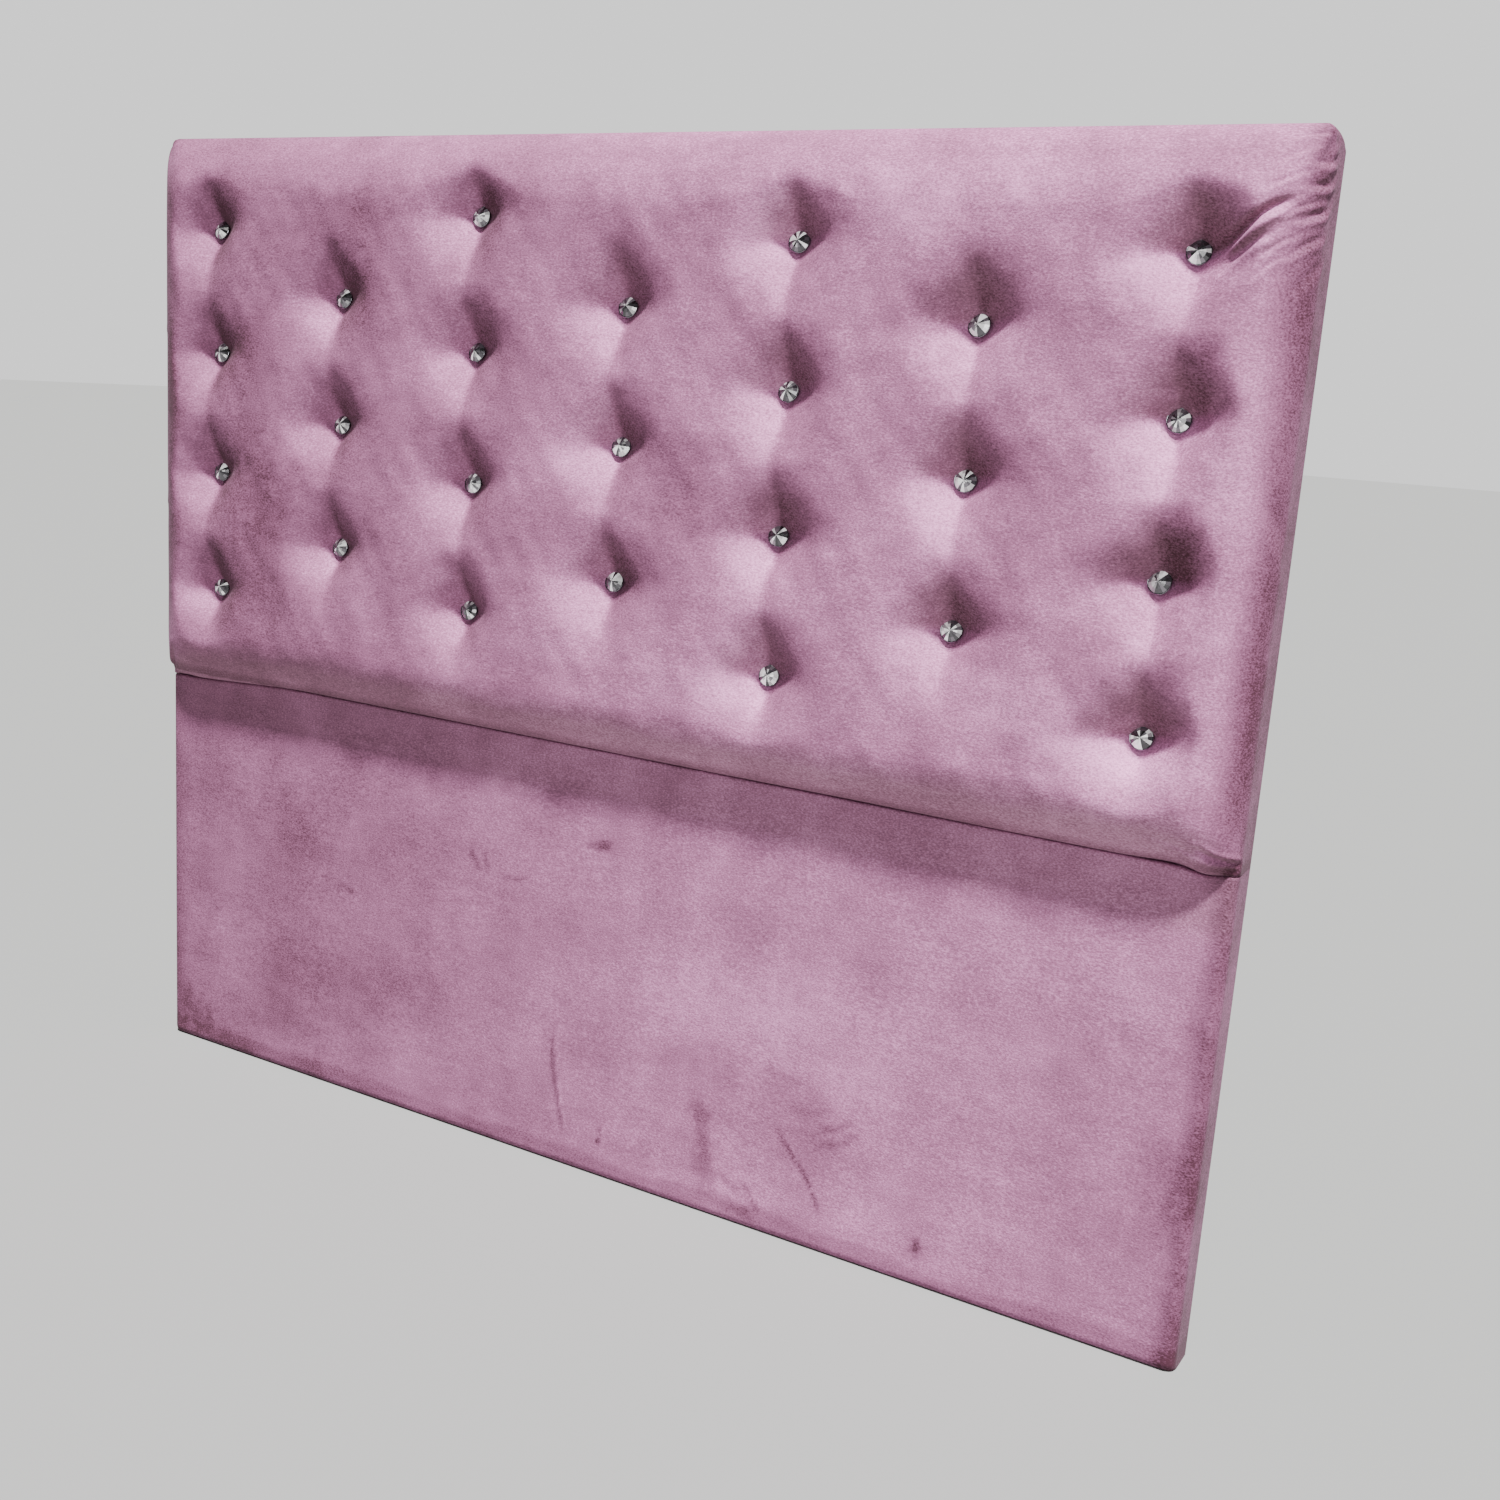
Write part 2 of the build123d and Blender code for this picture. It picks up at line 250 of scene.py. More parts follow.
def raised_surface(material, out, shade, height, bump, settings):
    """Ends a material whose grain stands up from its surface."""
    strength, distance = bump
    size = {"Strength": strength, "Distance": distance}
    raised = add(material, "ShaderNodeBump", size, {"Height": height})
    surface = add(
        material,
        "ShaderNodeBsdfPrincipled",
        settings,
        {"Base Color": shade, "Normal": raised.outputs[0]},
    )
    material.node_tree.links.new(surface.outputs[0], out.inputs[0])
    return material


def velvet(colours):
    """Polyester velvet, woven and brushed.

    Its pile lies in patches that catch the light apart, so one colour reads as pink and mauve
    clouds, and its tips glow where the cloth turns away.
    """
    material, out = new_material("brushed_polyester_velvet")
    place = add(material, "ShaderNodeTexCoord")
    clouds = grain(material, place, 9, 2, 0.5)  # hand-sized rubs, 110 mm
    patches = grain(material, place, 34, 3, 0.55)  # finger marks, 30 mm
    streaks = grain(material, place, 60, 4, 0.6, (0.4, 1, 1.5))  # weft lines, 11 mm high
    pile = grain(material, place, 480, 3, 0.7, (0.7, 1, 1.3))  # 0.3 mm tufts drawn as 2 mm to show
    # The nap attribute holds brushing marks and painted light and shade from paint_nap_and_light
    nap_and_painted_light = add(material, "ShaderNodeAttribute", {"attribute_name": "nap_and_painted_light"})
    parts = [(clouds, 0.40), (patches, 0.16), (streaks, 0.18), (pile, 1.0)]
    tone = weigh(material, [*parts, (nap_and_painted_light.outputs["Fac"], 1.0)], 0.5)
    laid = add(
        material,
        "ShaderNodeValToRGB",
        links={"Fac": tone},
        stops=[(0.05, colours.pile_deep), (0.50, colours.pile_mid), (0.95, colours.pile_pale)],
    )
    # Painted shade: a greyer, browner tint on faces that turn down and under the pad
    painted_shade = add(material, "ShaderNodeAttribute", {"attribute_name": "painted_shade"})
    shade = add(
        material,
        "ShaderNodeMix",
        {"data_type": "RGBA", "blend_type": "MULTIPLY", 7: (*colours.painted_shade_tint, 1.0)},
        {0: painted_shade.outputs["Fac"], 6: laid.outputs[0]},
    )
    crumple = grain(material, place, 95, 5, 0.6, (0.7, 1, 1.6))  # soft crumple, 11 mm
    raised = weigh(material, [(pile, 0.5), (crumple, 0.5)], 0.5)
    settings = {
        "Roughness": 0.78,
        "IOR": 1.45,
        "Specular IOR Level": 0.15,
        "Sheen Weight": 0.05,
        "Sheen Roughness": 0.42,
        "Sheen Tint": (*colours.sheen, 1.0),
    }
    return raised_surface(material, out, shade.outputs[2], raised, (0.5, 0.0012), settings)


def foiled_crystal():
    """Machine-cut crystal with a silver foil behind it.

    Its reflections are painted: bright and dark facets lie side by side, the brightest glowing.
    """
    material, out = new_material("cut_crystal_painted_reflections")
    painted_reflection = add(material, "ShaderNodeAttribute", {"attribute_name": "painted_reflection"})
    # Painted reflections: each facet's tone from the attribute
    shade = add(
        material,
        "ShaderNodeValToRGB",
        links={"Fac": painted_reflection.outputs["Fac"]},
        stops=[
            (0.0, linear("#1e1c20")),
            (0.34, linear("#56525a")),
            (0.56, linear("#8f8a92")),
            (0.70, linear("#ffffff")),
        ],
    )
    # Painted glints: the brightest facets glow, though nothing lights them
    painted_glint = add(
        material,
        "ShaderNodeValToRGB",
        links={"Fac": painted_reflection.outputs["Fac"]},
        stops=[(0.70, (0, 0, 0)), (0.86, (1, 1, 1))],
    )
    surface = add(
        material,
        "ShaderNodeBsdfPrincipled",
        {
            "Metallic": 0.1,
            "Roughness": 0.16,
            "IOR": 1.55,
            "Coat Weight": 1.0,
            "Coat Roughness": 0.08,
            "Coat IOR": 1.55,
            "Emission Strength": 0.6,
        },
        {"Base Color": shade.outputs[0], "Emission Color": painted_glint.outputs[0]},
    )
    material.node_tree.links.new(surface.outputs[0], out.inputs[0])
    return material


def dark_chrome():
    """Pressed steel with a thin dark chrome plate: smooth, with faint draw lines round it."""
    material, out = new_material("plated_pressed_steel")
    place = add(material, "ShaderNodeTexCoord")
    lines = grain(material, place, 900, 2, 0.5, (1, 6, 1))  # draw lines, 0.2 mm
    shade = add(
        material,
        "ShaderNodeValToRGB",
        links={"Fac": lines},
        stops=[(0.3, linear("#77757b")), (0.7, linear("#a4a2a8"))],
    )
    surface = add(
        material,
        "ShaderNodeBsdfPrincipled",
        {"Metallic": 1.0, "Roughness": 0.18},
        {"Base Color": shade.outputs[0]},
    )
    material.node_tree.links.new(surface.outputs[0], out.inputs[0])
    return material


def spun_cloth(colours):
    """Black spun-bonded dust cloth: matt, with a dotted press pattern 1.5 mm apart."""
    material, out = new_material("spun_bonded_dust_cloth")
    place = add(material, "ShaderNodeTexCoord")
    dots = add(
        material,
        "ShaderNodeTexVoronoi",
        {"Scale": 420.0, "Randomness": 0.25},  # 1.5 mm dots drawn as 2.4 mm to show
        {"Vector": place.outputs["Object"]},
    )
    fibres = grain(material, place, 260, 5, 0.7)
    tone = weigh(material, [(dots.outputs["Distance"], 0.5), (fibres, 0.6)], 0.5)
    dark = [v * 0.7 for v in colours.back_cloth]
    pale = [min(1.0, v * 1.9 + 0.004) for v in colours.back_cloth]
    shade = add(
        material, "ShaderNodeValToRGB", links={"Fac": tone}, stops=[(0.2, dark), (0.8, pale)]
    )
    settings = {"Roughness": 0.9, "Specular IOR Level": 0.3}
    return raised_surface(material, out, shade.outputs[0], tone, (0.4, 0.0003), settings)


def sawn_timber(colours, name, along):
    """Sawn and planed pine: pale, with darker late wood every 4 mm along the batten."""
    material, out = new_material(name)
    place = add(material, "ShaderNodeTexCoord")
    stretch = (0.06, 1, 1) if along == "x" else (1, 1, 0.06)
    rings = grain(material, place, 240, 4, 0.55, stretch)  # year rings, 4 mm
    pores = grain(material, place, 1500, 2, 0.6, stretch)  # saw marks, 0.7 mm
    tone = weigh(material, [(rings, 1.0), (pores, 0.4)], 0.5)
    dark = [v * 0.55 for v in colours.timber]
    stops = [(0.25, dark), (0.75, colours.timber)]
    shade = add(material, "ShaderNodeValToRGB", links={"Fac": tone}, stops=stops)
    settings = {"Roughness": 0.7}
    return raised_surface(material, out, shade.outputs[0], tone, (0.3, 0.0003), settings)


def plain_stuff(name, dark, pale, spot, roughness, metallic=0.0, stretch=(1, 1, 1)):
    """A hidden part's stuff: two tones in spots of a real size in millimetres."""
    material, out = new_material(name)
    place = add(material, "ShaderNodeTexCoord")
    spots = grain(material, place, 1000 / spot, 4, 0.6, stretch)
    stops = [(0.3, linear(dark)), (0.7, linear(pale))]
    shade = add(material, "ShaderNodeValToRGB", links={"Fac": spots}, stops=stops)
    settings = {"Roughness": roughness, "Metallic": metallic}
    return raised_surface(material, out, shade.outputs[0], spots, (0.3, 0.0003), settings)


# ---------------------------------------------------------------- mesh tools


def set_in_scene(name, data):
    """An object in the scene for a mesh, a light or a camera."""
    thing = bpy.data.objects.new(name, data)
    bpy.context.scene.collection.objects.link(thing)
    return thing


def to_object(name, bm, material, replaced, smooth_angle=None):
    """Makes a finished piece of a bmesh, with its place in its mesh."""
    mesh = bpy.data.meshes.new(name)
    bm.to_mesh(mesh)
    bm.free()
    if smooth_angle is not None:
        mesh.shade_smooth()
        mesh.set_sharp_from_angle(angle=smooth_angle)
    mesh.materials.append(bpy.data.materials[material])
    piece = set_in_scene(name, mesh)
    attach(piece, "root")
    if replaced:
        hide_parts(*replaced)
    return piece


def mesh_lines(low, high, step, stretches):
    """Places of mesh lines between two edges, closer together in the given stretches."""
    places = [low + WALL]
    while places[-1] < high - WALL:
        near = [fine for start, end, fine in stretches if start <= places[-1] < end]
        places.append(places[-1] + min([step, *near]))
    inner = np.array(places)
    share = (inner - inner[0]) / (inner[-1] - inner[0])
    inner = low + WALL + share * (high - low - 2 * WALL)
    return np.concatenate([[low], inner, [high]])


def front_sheet(xs, zs):
    """A flat sheet of mesh on the given lines, facing the room. Gives the bmesh and its corners."""
    bm = bmesh.new()
    bmesh.ops.create_grid(bm, x_segments=len(xs) - 1, y_segments=len(zs) - 1, size=0.5)
    flat = np.array([v.co[:2] for v in bm.verts])
    low, span = flat.min(0), flat.max(0) - flat.min(0)
    i = np.rint((flat[:, 0] - low[0]) / span[0] * (len(xs) - 1)).astype(int)
    j = np.rint((flat[:, 1] - low[1]) / span[1] * (len(zs) - 1)).astype(int)
    return bm, xs[i], zs[j]


def place_vertices(bm, x, y, z):
    """Moves every vertex of a bmesh to its place."""
    for vertex, p in zip(bm.verts, np.stack([x, y, z], 1)):
        vertex.co = p


def places_of(vertices):
    """The x, y and z of all vertices."""
    return np.array([v.co for v in vertices]).T


SIDE_RINGS = 12  # rings of mesh between the front and the back


def wrap_to_back(bm, far_z):
    """Carries a sheet's rim round the sides, onto the back and in to the board, and closes it.

    The rim's seam side goes straight in to the board, where both velvets are tacked.
    """
    edges = [e for e in bm.edges if e.is_boundary]
    rim = {}
    for edge in edges:
        for v in edge.verts:
            at_seam = abs(v.co.z - SEAM_Z) < 1e-6 and abs(v.co.x) < HALF_WIDTH - WALL / 2
            rim[v] = (v.co.copy(), at_seam)
    height = abs(far_z - SEAM_Z)
    rings = [(share, 0.0) for share in np.linspace(0, 1, SIDE_RINGS + 1)[1:]]
    rings += [(1.0, BACK_TURN * share) for share in (0.3, 1.0)]
    rings += [(None, BACK_TURN), (None, WALL), ("board", WALL)]
    for share, inset in rings:
        made = bmesh.ops.extrude_edge_only(bm, edges=edges)["geom"]
        fresh = {g for g in made if isinstance(g, bmesh.types.BMVert)}
        edges = [g for g in made if isinstance(g, bmesh.types.BMEdge)]
        ring = {}
        for v in fresh:
            before = next(
                e.other_vert(v) for e in v.link_edges if e.other_vert(v) not in fresh
            )
            start, at_seam = ring[v] = rim[before]
            if at_seam:
                v.co = (start.x, BOARD_Y, SEAM_Z)
                continue
            if share == "board":
                y = BOARD_Y
            elif share is None:
                y = BACK_Y - WALL
            else:
                y = start.y + (BACK_Y - start.y) * share
            x = start.x * (HALF_WIDTH - inset) / HALF_WIDTH
            z = SEAM_Z + (start.z - SEAM_Z) * (height - inset) / height
            v.co = (x, y, z)
        rim = ring
    bmesh.ops.remove_doubles(bm, verts=bm.verts, dist=2e-6)
    bmesh.ops.edgeloop_fill(bm, edges=[e for e in bm.edges if e.is_boundary])
    bmesh.ops.recalc_face_normals(bm, faces=bm.faces)


def softened(points):
    """A listed line with its corners cut twice."""
    line = np.array(points, float) / 1000
    for _ in range(2):
        ahead = line[:-1] * 0.75 + line[1:] * 0.25
        behind = line[:-1] * 0.25 + line[1:] * 0.75
        cut = np.stack([ahead, behind], 1).reshape(-1, 2)
        line = np.concatenate([line[:1], cut, line[-1:]])
    return line


def off_line(x, z, line):
    """For every point its signed distance to a line, and how far along the line it lies."""
    best = np.full(x.shape, 1e9)
    side = np.zeros(x.shape)
    along = np.zeros(x.shape)
    steps = np.linalg.norm(np.diff(line, axis=0), axis=1)
    ends = np.concatenate([[0], np.cumsum(steps)])
    for (x0, z0), (x1, z1), step, start in zip(line[:-1], line[1:], steps, ends[:-1]):
        dx, dz = (x1 - x0) / step, (z1 - z0) / step
        t = np.clip((x - x0) * dx + (z - z0) * dz, 0, step)
        off_x, off_z = x - x0 - t * dx, z - z0 - t * dz
        distance = np.hypot(off_x, off_z)
        nearer = distance < best
        best = np.where(nearer, distance, best)
        side = np.where(nearer, np.sign(dx * off_z - dz * off_x), side)
        along = np.where(nearer, (start + t) / ends[-1], along)
    return best * side, along


def slow_waves(x, z, shortest, longest, seed):
    """An even sum of slow waves between -1 and 1, the same on every run."""
    random = np.random.default_rng(seed)
    total = np.zeros(x.shape)
    count = 14
    for _ in range(count):
        turn = random.uniform(0, pi)
        size = random.uniform(shortest, longest)
        total += np.sin(tau * (x * cos(turn) + z * sin(turn)) / size + random.uniform(0, tau))
    return total / (count * 0.5) ** 0.5 / 1.6


def step_up(value, low, high):
    """0 below low, 1 above high, and a smooth step between."""
    t = np.clip((value - low) / (high - low), 0, 1)
    return t * t * (3 - 2 * t)


RIM_FALL = 0.75  # a padded rim is flatter than a quarter circle


def rim_drop(distance, size):
    """How far a rounded rim falls back, at each distance in from the edge."""
    inside = np.clip(1 - distance / size, 0, 1)
    return size * RIM_FALL * (1 - np.sqrt(1 - inside**2))


# ---------------------------------------------------------------- pad and panel

# Gathers of the pad's velvet: points in millimetres (x, z), half width,
# depth of the valley and height of the ridge beside it
PAD_GATHERS = [
    ([(700, 1140), (688, 1135), (672, 1124), (658, 1111), (645, 1101), (632, 1095)], 4.0, 7.4, 3.4),
    ([(688, 1113), (672, 1105), (658, 1094), (646, 1080)], 3.6, 1.8, 1.4),
    ([(742, 1143), (726, 1134), (710, 1125)], 3.0, 2.6, 2.0),
    ([(746, 1161), (728, 1154), (714, 1151)], 2.8, 2.6, 2.2),
    ([(744, 1174), (729, 1170), (716, 1168)], 2.8, 2.2, 2.0),
    ([(742, 1193), (728, 1184), (722, 1170)], 5.0, 4.4, 1.4),
    ([(724, 1191), (706, 1189), (686, 1184)], 1.7, 1.1, 0.7),
    ([(718, 1181), (702, 1175), (684, 1166)], 1.7, 0.9, 0.6),
    ([(716, 1163), (700, 1158), (680, 1148)], 1.7, 0.8, 0.5),
    ([(722, 1141), (708, 1136), (696, 1128)], 1.7, 0.9, 0.7),
    ([(734, 1118), (718, 1108), (704, 1094)], 3.0, 1.5, 1.2),
    ([(736, 1098), (722, 1084), (712, 1066)], 4.0, 1.2, 1.0),
    ([(708, 1112), (696, 1106), (684, 1094)], 1.9, 0.8, 0.5),
    ([(700, 1094), (688, 1086), (676, 1072)], 1.9, 0.6, 0.4),
    ([(640, 548), (672, 541), (702, 534), (726, 531)], 3.2, 3.4, 2.0),
    ([(690, 556), (708, 545), (730, 538)], 2.6, 2.6, 2.0),
    ([(-322, 531), (-310, 540), (-300, 552)], 3.0, 1.8, 1.0),
    ([(-296, 530), (-290, 540), (-286, 549)], 2.6, 1.2, 0.8),
    ([(-728, 531), (-706, 545), (-694, 566)], 3.4, 2.6, 1.6),
    ([(-735, 700), (-722, 716), (-712, 742)], 6.0, 2.0, 1.4),
    ([(-738, 905), (-724, 930), (-714, 960)], 6.0, 2.0, 1.4),
    ([(738, 820), (726, 846), (716, 880)], 6.0, 1.8, 1.4),
]

# Creases run strongest in the right-hand columns, where the cloth was pulled last
COLUMN_PULL = {1: 0.8, 2: 0.65, 3: 1.1, 4: 0.95, 5: 1.35, 6: 1.15, 7: 1.7}

# Round a button the velvet falls in four soft faces that meet in creases: one straight up, one
# straight down, one to the left and one that climbs to the right
PIT_POWER = 1.12
PIT_STEEPNESS = 3.1
PIT_FLOOR = 0.011  # how far from a button's middle the velvet is pulled flat
PIT_BLEND = 3.0
RIGHT_CREASE_RISE = 0.14
LEFT_CREASE_RISE = 0.10
CREASE_START = 0.014
CREASE_ROUND = 0.002  # rounding of the creases at the button
CREASE_FADE = 0.24  # how fast they round off away from it

# The valley down a column wanders from side to side, has a rounded floor, and runs on past the
# column's first and last button
VALLEY_WANDER = 0.0035
VALLEY_FLOOR = 0.0022
VALLEY_ABOVE = 0.068
VALLEY_BELOW = 0.040
RIPPLES = 0.0003


def foam_roll(side, top, foot, reach):
    """How far the foam rolls back, at each distance in from the pad's edges."""
    rise = PANEL_Y - CROWN_Y
    at_side, at_top, at_foot = (np.clip(1 - d / reach, 0, 1) for d in (side, top, foot))
    power = 2.5 + 6.0 * np.maximum(at_side, np.maximum(at_top, at_foot)) ** 4
    share = (at_side**power + at_top**power + at_foot**power) ** (1 / power)
    share = np.clip(share, 0, 1)
    bend = (reach**2 + rise**2) / (2 * rise)
    return bend - np.sqrt(bend**2 - (share * reach) ** 2)


def column_valley(x, z, column, width):
    """How strongly the valley down a column shows at each place."""
    places = BUTTONS[column]
    (line, first), (_, last) = places[0], places[-1]
    above, below = first + VALLEY_ABOVE, last - VALLEY_BELOW
    gap = np.abs(x - (line + VALLEY_WANDER * np.sin(z * 37 + column * 1.7)))
    cross = np.exp(-(np.sqrt(gap**2 + VALLEY_FLOOR**2) - VALLEY_FLOOR) / width)
    along = np.zeros(z.shape)
    for (_, high), (_, low) in zip(places[:-1], places[1:]):
        t = np.clip((z - low) / (high - low), 0, 1)
        inside = (z >= low) & (z <= high)
        along = np.where(inside, 0.55 + 0.45 * np.abs(2 * t - 1) ** 1.4, along)
    along = np.where(z > first, np.clip((above - z) / (above - first), 0, 1), along)
    along = np.where(z < last, np.clip((z - below) / (last - below), 0, 1), along)
    return COLUMN_PULL[column] * cross * along


def tufted_depth(x, z, pad):
    """How far behind the crown the pad's velvet lies at each place."""
    side, top, foot = HALF_WIDTH - np.abs(x), TOP_Z - z, z - SEAM_Z
    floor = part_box("button_cups_column_1")[1].y - CROWN_Y
    pulled = foam_roll(side, top, foot, pad.edge_reach) ** PIT_BLEND
    free = np.ones(x.shape)
    for column in COLUMNS:
        for bx, bz in BUTTONS[column]:
            across, up = x - bx, z - bz
            near = np.hypot(across, up)
            up = up - np.where(across > 0, RIGHT_CREASE_RISE, LEFT_CREASE_RISE) * across
            soft = CREASE_ROUND + CREASE_FADE * np.maximum(near - CREASE_START, 0)
            four_sided = np.hypot(across, soft) ** PIT_POWER + np.hypot(up, soft) ** PIT_POWER
            past = np.maximum(four_sided ** (1 / PIT_POWER) - PIT_FLOOR, 0) / pad.tuft_reach
            pulled += (floor * np.clip(1 - past, 0, 1) ** PIT_STEEPNESS) ** PIT_BLEND
            free *= step_up(near, 0.012, 0.034)
    depth = pulled ** (1 / PIT_BLEND)

    inner = step_up(np.minimum(side, np.minimum(top, foot)), 0.004, 0.055)
    valley = np.zeros(x.shape)
    for column in COLUMNS:
        valley += column_valley(x, z, column, pad.valley_width)
    depth += pad.valley_depth * valley * free * inner
    depth += pad.waves * slow_waves(x, z, 0.08, 0.21, 11) * free * inner
    depth += RIPPLES * slow_waves(x, z, 0.025, 0.06, 12) * free * inner
    return depth


# The ridge beside a gather's valley: how far off and how wide, in the valley's half widths
RIDGE_OFF = 1.8
RIDGE_WIDTH = 1.2


def gather(x, z, gathers):
    """How far the listed gathers sink the cloth at each place."""
    total = np.zeros(x.shape)
    for points, width, valley, ridge in gathers:
        width, valley, ridge = width / 1000, valley / 1000, ridge / 1000
        off, along = off_line(x, z, softened(points))
        fade = np.sin(pi * np.clip(0.06 + along * 0.88, 0, 1)) ** 0.7
        total += fade * valley * np.exp(-((off / width) ** 2))
        beside = (off - RIDGE_OFF * width) / (RIDGE_WIDTH * width)
        total -= fade * ridge * np.exp(-(beside**2))
    return total


def pull_in(bm, gathers):
    """Sinks the listed gathers into a wrapped piece, square to its surface.

    On the side a gather's x runs on past the edge, as it would on the cloth laid flat.
    """
    bm.normal_update()
    x, y, z = places_of(bm.verts)
    normals = np.array([v.normal for v in bm.verts])
    flat_x = x + np.sign(x) * np.maximum(y - PANEL_Y, 0)
    outside = (y < BOARD_Y - 0.002) | ((np.abs(x) > HALF_WIDTH - WALL / 2) & (y < 0.036))
    sunk = gather(flat_x, z, gathers) * outside * step_up(z, SEAM_Z - 0.001, SEAM_Z + 0.002)
    room = 0.0003 + np.maximum(BOARD_Y - 0.003 - y, 0)  # the board and the timber stay clear
    sunk = np.where(sunk > 0, sunk / np.sqrt(1 + (sunk / room) ** 2), sunk)
    place_vertices(bm, *(np.array([x, y, z]) - normals.T * sunk))


def rounded_corners(x, z, size):
    """Draws the sheet's two top corners in to a round outline."""
    across, up = size - (HALF_WIDTH - np.abs(x)), size - (TOP_Z - z)
    inside = (across > 0) & (up > 0)
    across, up = np.where(inside, across, 1.0), np.where(inside, up, 0.0)
    scale = np.maximum(across, up) / np.hypot(across, up)
    new_x = np.sign(x) * (HALF_WIDTH - size + across * scale)
    new_z = TOP_Z - size + up * scale
    return np.where(inside, new_x, x), np.where(inside, new_z, z)


LEFT_SAG = 0.010  # how far the seam's left end hangs down
RIGHT_DIP = (0.694, 0.020, 0.0045)  # middle, half width and fall of the dip at its right end


def seam_sag(x, y, z):
    """How far the seam line hangs down towards its ends, fading away from the seam."""
    middle, width, fall = RIGHT_DIP
    end = step_up(-x, 0.47, 0.72) * LEFT_SAG + fall * np.exp(-(((x - middle) / width) ** 2))
    near = np.exp(-(((z - SEAM_Z) / 0.06) ** 2))
    return end * near * step_up(-y, -0.030, -0.006)


# Where the seam gapes: middle, half width and how far the pad's edge stands up, in metres
SEAM_GAPES = [(-0.698, 0.020, 0.0018), (0.664, 0.034, 0.0024), (0.30, 0.10, 0.0006)]


def seam_gape(x, z):
    """How far the pad's edge stands off the panel at each place."""
    total = np.zeros(x.shape)
    for middle, width, rise in SEAM_GAPES:
        total += rise * np.exp(-(((x - middle) / width) ** 2))
    total *= step_up(HALF_WIDTH - np.abs(x), 0.0, 0.016)
    return total * np.exp(-(((z - SEAM_Z) / 0.02) ** 2))


# The foam is not cut back at the top, so the pad stands a little over the frame there, and
# falls in a dome to the frame's height just before the back
TOP_SWELL = 0.0095
SWELL_REACH = 0.075
DOME_DEPTH = 0.0405

SIDE_WAVES = 0.0011  # how far the sides' outline wanders, and its limits in and out
SIDE_WAVE_LIMITS = (-0.0006, 0.001)
CORNER_STEPS = (0.0013, 0.0014)  # mesh steps across and up at the gathered corner


def build_pad(settings):
    """The velvet and foam of the buttoned pad."""
    pad = settings.headboard_pad
    fine = pad.fine_step
    corner_x, corner_z = CORNER_STEPS
    sides = [(0.600, 0.676, fine), (0.676, 0.8, corner_x), (-0.8, -0.690, fine)]
    xs = mesh_lines(-HALF_WIDTH, HALF_WIDTH, pad.mesh_step, sides)
    ends = [(1.060, 1.090, fine), (1.090, 1.3, corner_z), (0.4, 0.565, fine)]
    zs = mesh_lines(SEAM_Z, TOP_Z, pad.mesh_step, ends)
    bm, x, z = front_sheet(xs, zs)
    x, z = rounded_corners(x, z, pad.corner)
    depth = tufted_depth(x, z, pad)
    side, top = HALF_WIDTH - np.abs(x), TOP_Z - z
    in_corner = (side < pad.corner) & (top < pad.corner)
    round_gap = pad.corner - np.hypot(pad.corner - side, pad.corner - top)
    edge = np.where(in_corner, round_gap, np.minimum(side, top))
    depth += rim_drop(np.maximum(edge, 0), pad.rim)
    depth += rim_drop(z - SEAM_Z, pad.seam_rim)
    place_vertices(bm, x, CROWN_Y + depth, z)
    wrap_to_back(bm, TOP_Z)
    pull_in(bm, PAD_GATHERS)
    x, y, z = places_of(bm.verts)
    wave = SIDE_WAVES * slow_waves(y * 0, z, 0.10, 0.24, 5) * step_up(np.abs(x), 0.690, 0.725)
    x = x + np.sign(x) * np.clip(wave, *SIDE_WAVE_LIMITS) * step_up(-y, -0.040, 0.0)
    z = z - seam_sag(x, y, z) + seam_gape(x, z) * (y < BOARD_Y - 0.001)
    dome = np.sqrt(1 - np.clip(y / DOME_DEPTH, 0, 1) ** 2)
    z = z + TOP_SWELL * step_up(z, TOP_Z - SWELL_REACH, TOP_Z - 0.006) * dome
    place_vertices(bm, x, y, z)
    piece = to_object(
        "buttoned_pad_velvet",
        bm,
        "brushed_polyester_velvet",
        ["upper_cover", "upper_foam"],
        radians(60),
    )
    paint_nap_and_light(piece, PAD_MARKS_AND_SHADE)
    return piece


# Painted light and shade, and a darker foot, in each part of the velvet: -1 deep to 1 pale
UNDERSIDE_PAINTED_LIGHT = 0.12
UNDERSIDE_REACH = 0.052  # up from the seam
SEAM_PAINTED_SHADE = -0.16
SHADOW_LIFT_UNDER_PAD = 0.07
SIDE_PAINTED_SHADE = -0.31
LEFT_SIDE_SHARE = 0.4  # of the right side's painted shade
SIDE_REACH = 0.034  # in from the side
FACING_PAINTED_LIGHT = 0.50
FACING_LIMITS = (-0.60, 0.30)
PAINTED_LIGHT_TURN = ([-0.20, 0.16, 0.36, 0.52], [78, 64, 55, 25])  # where the painted light comes from, in degrees right of up, by x
TURNED_AWAY = ([0.42, 0.60], [1.0, 0.86])  # painted shade weaker on the last column's dark faces, by x
LEFT_PAINTED_SHADE = -0.18
FOOT_DARKENING = -0.13
BROAD_MARK = 15.0  # millimetres

# Painted shade tint: the steepness of faces that turn down at which it starts and over which
# it grows, its share by x above the seam, and its share in the shadow under the pad
SHADE_TINT_START = 0.10
SHADE_TINT_GROWS = 0.35
SHADE_TINT_BY_X = ([-0.3, 0.5], [0.3, 1.0])
SHADE_TINT_UNDER_PAD = 0.5

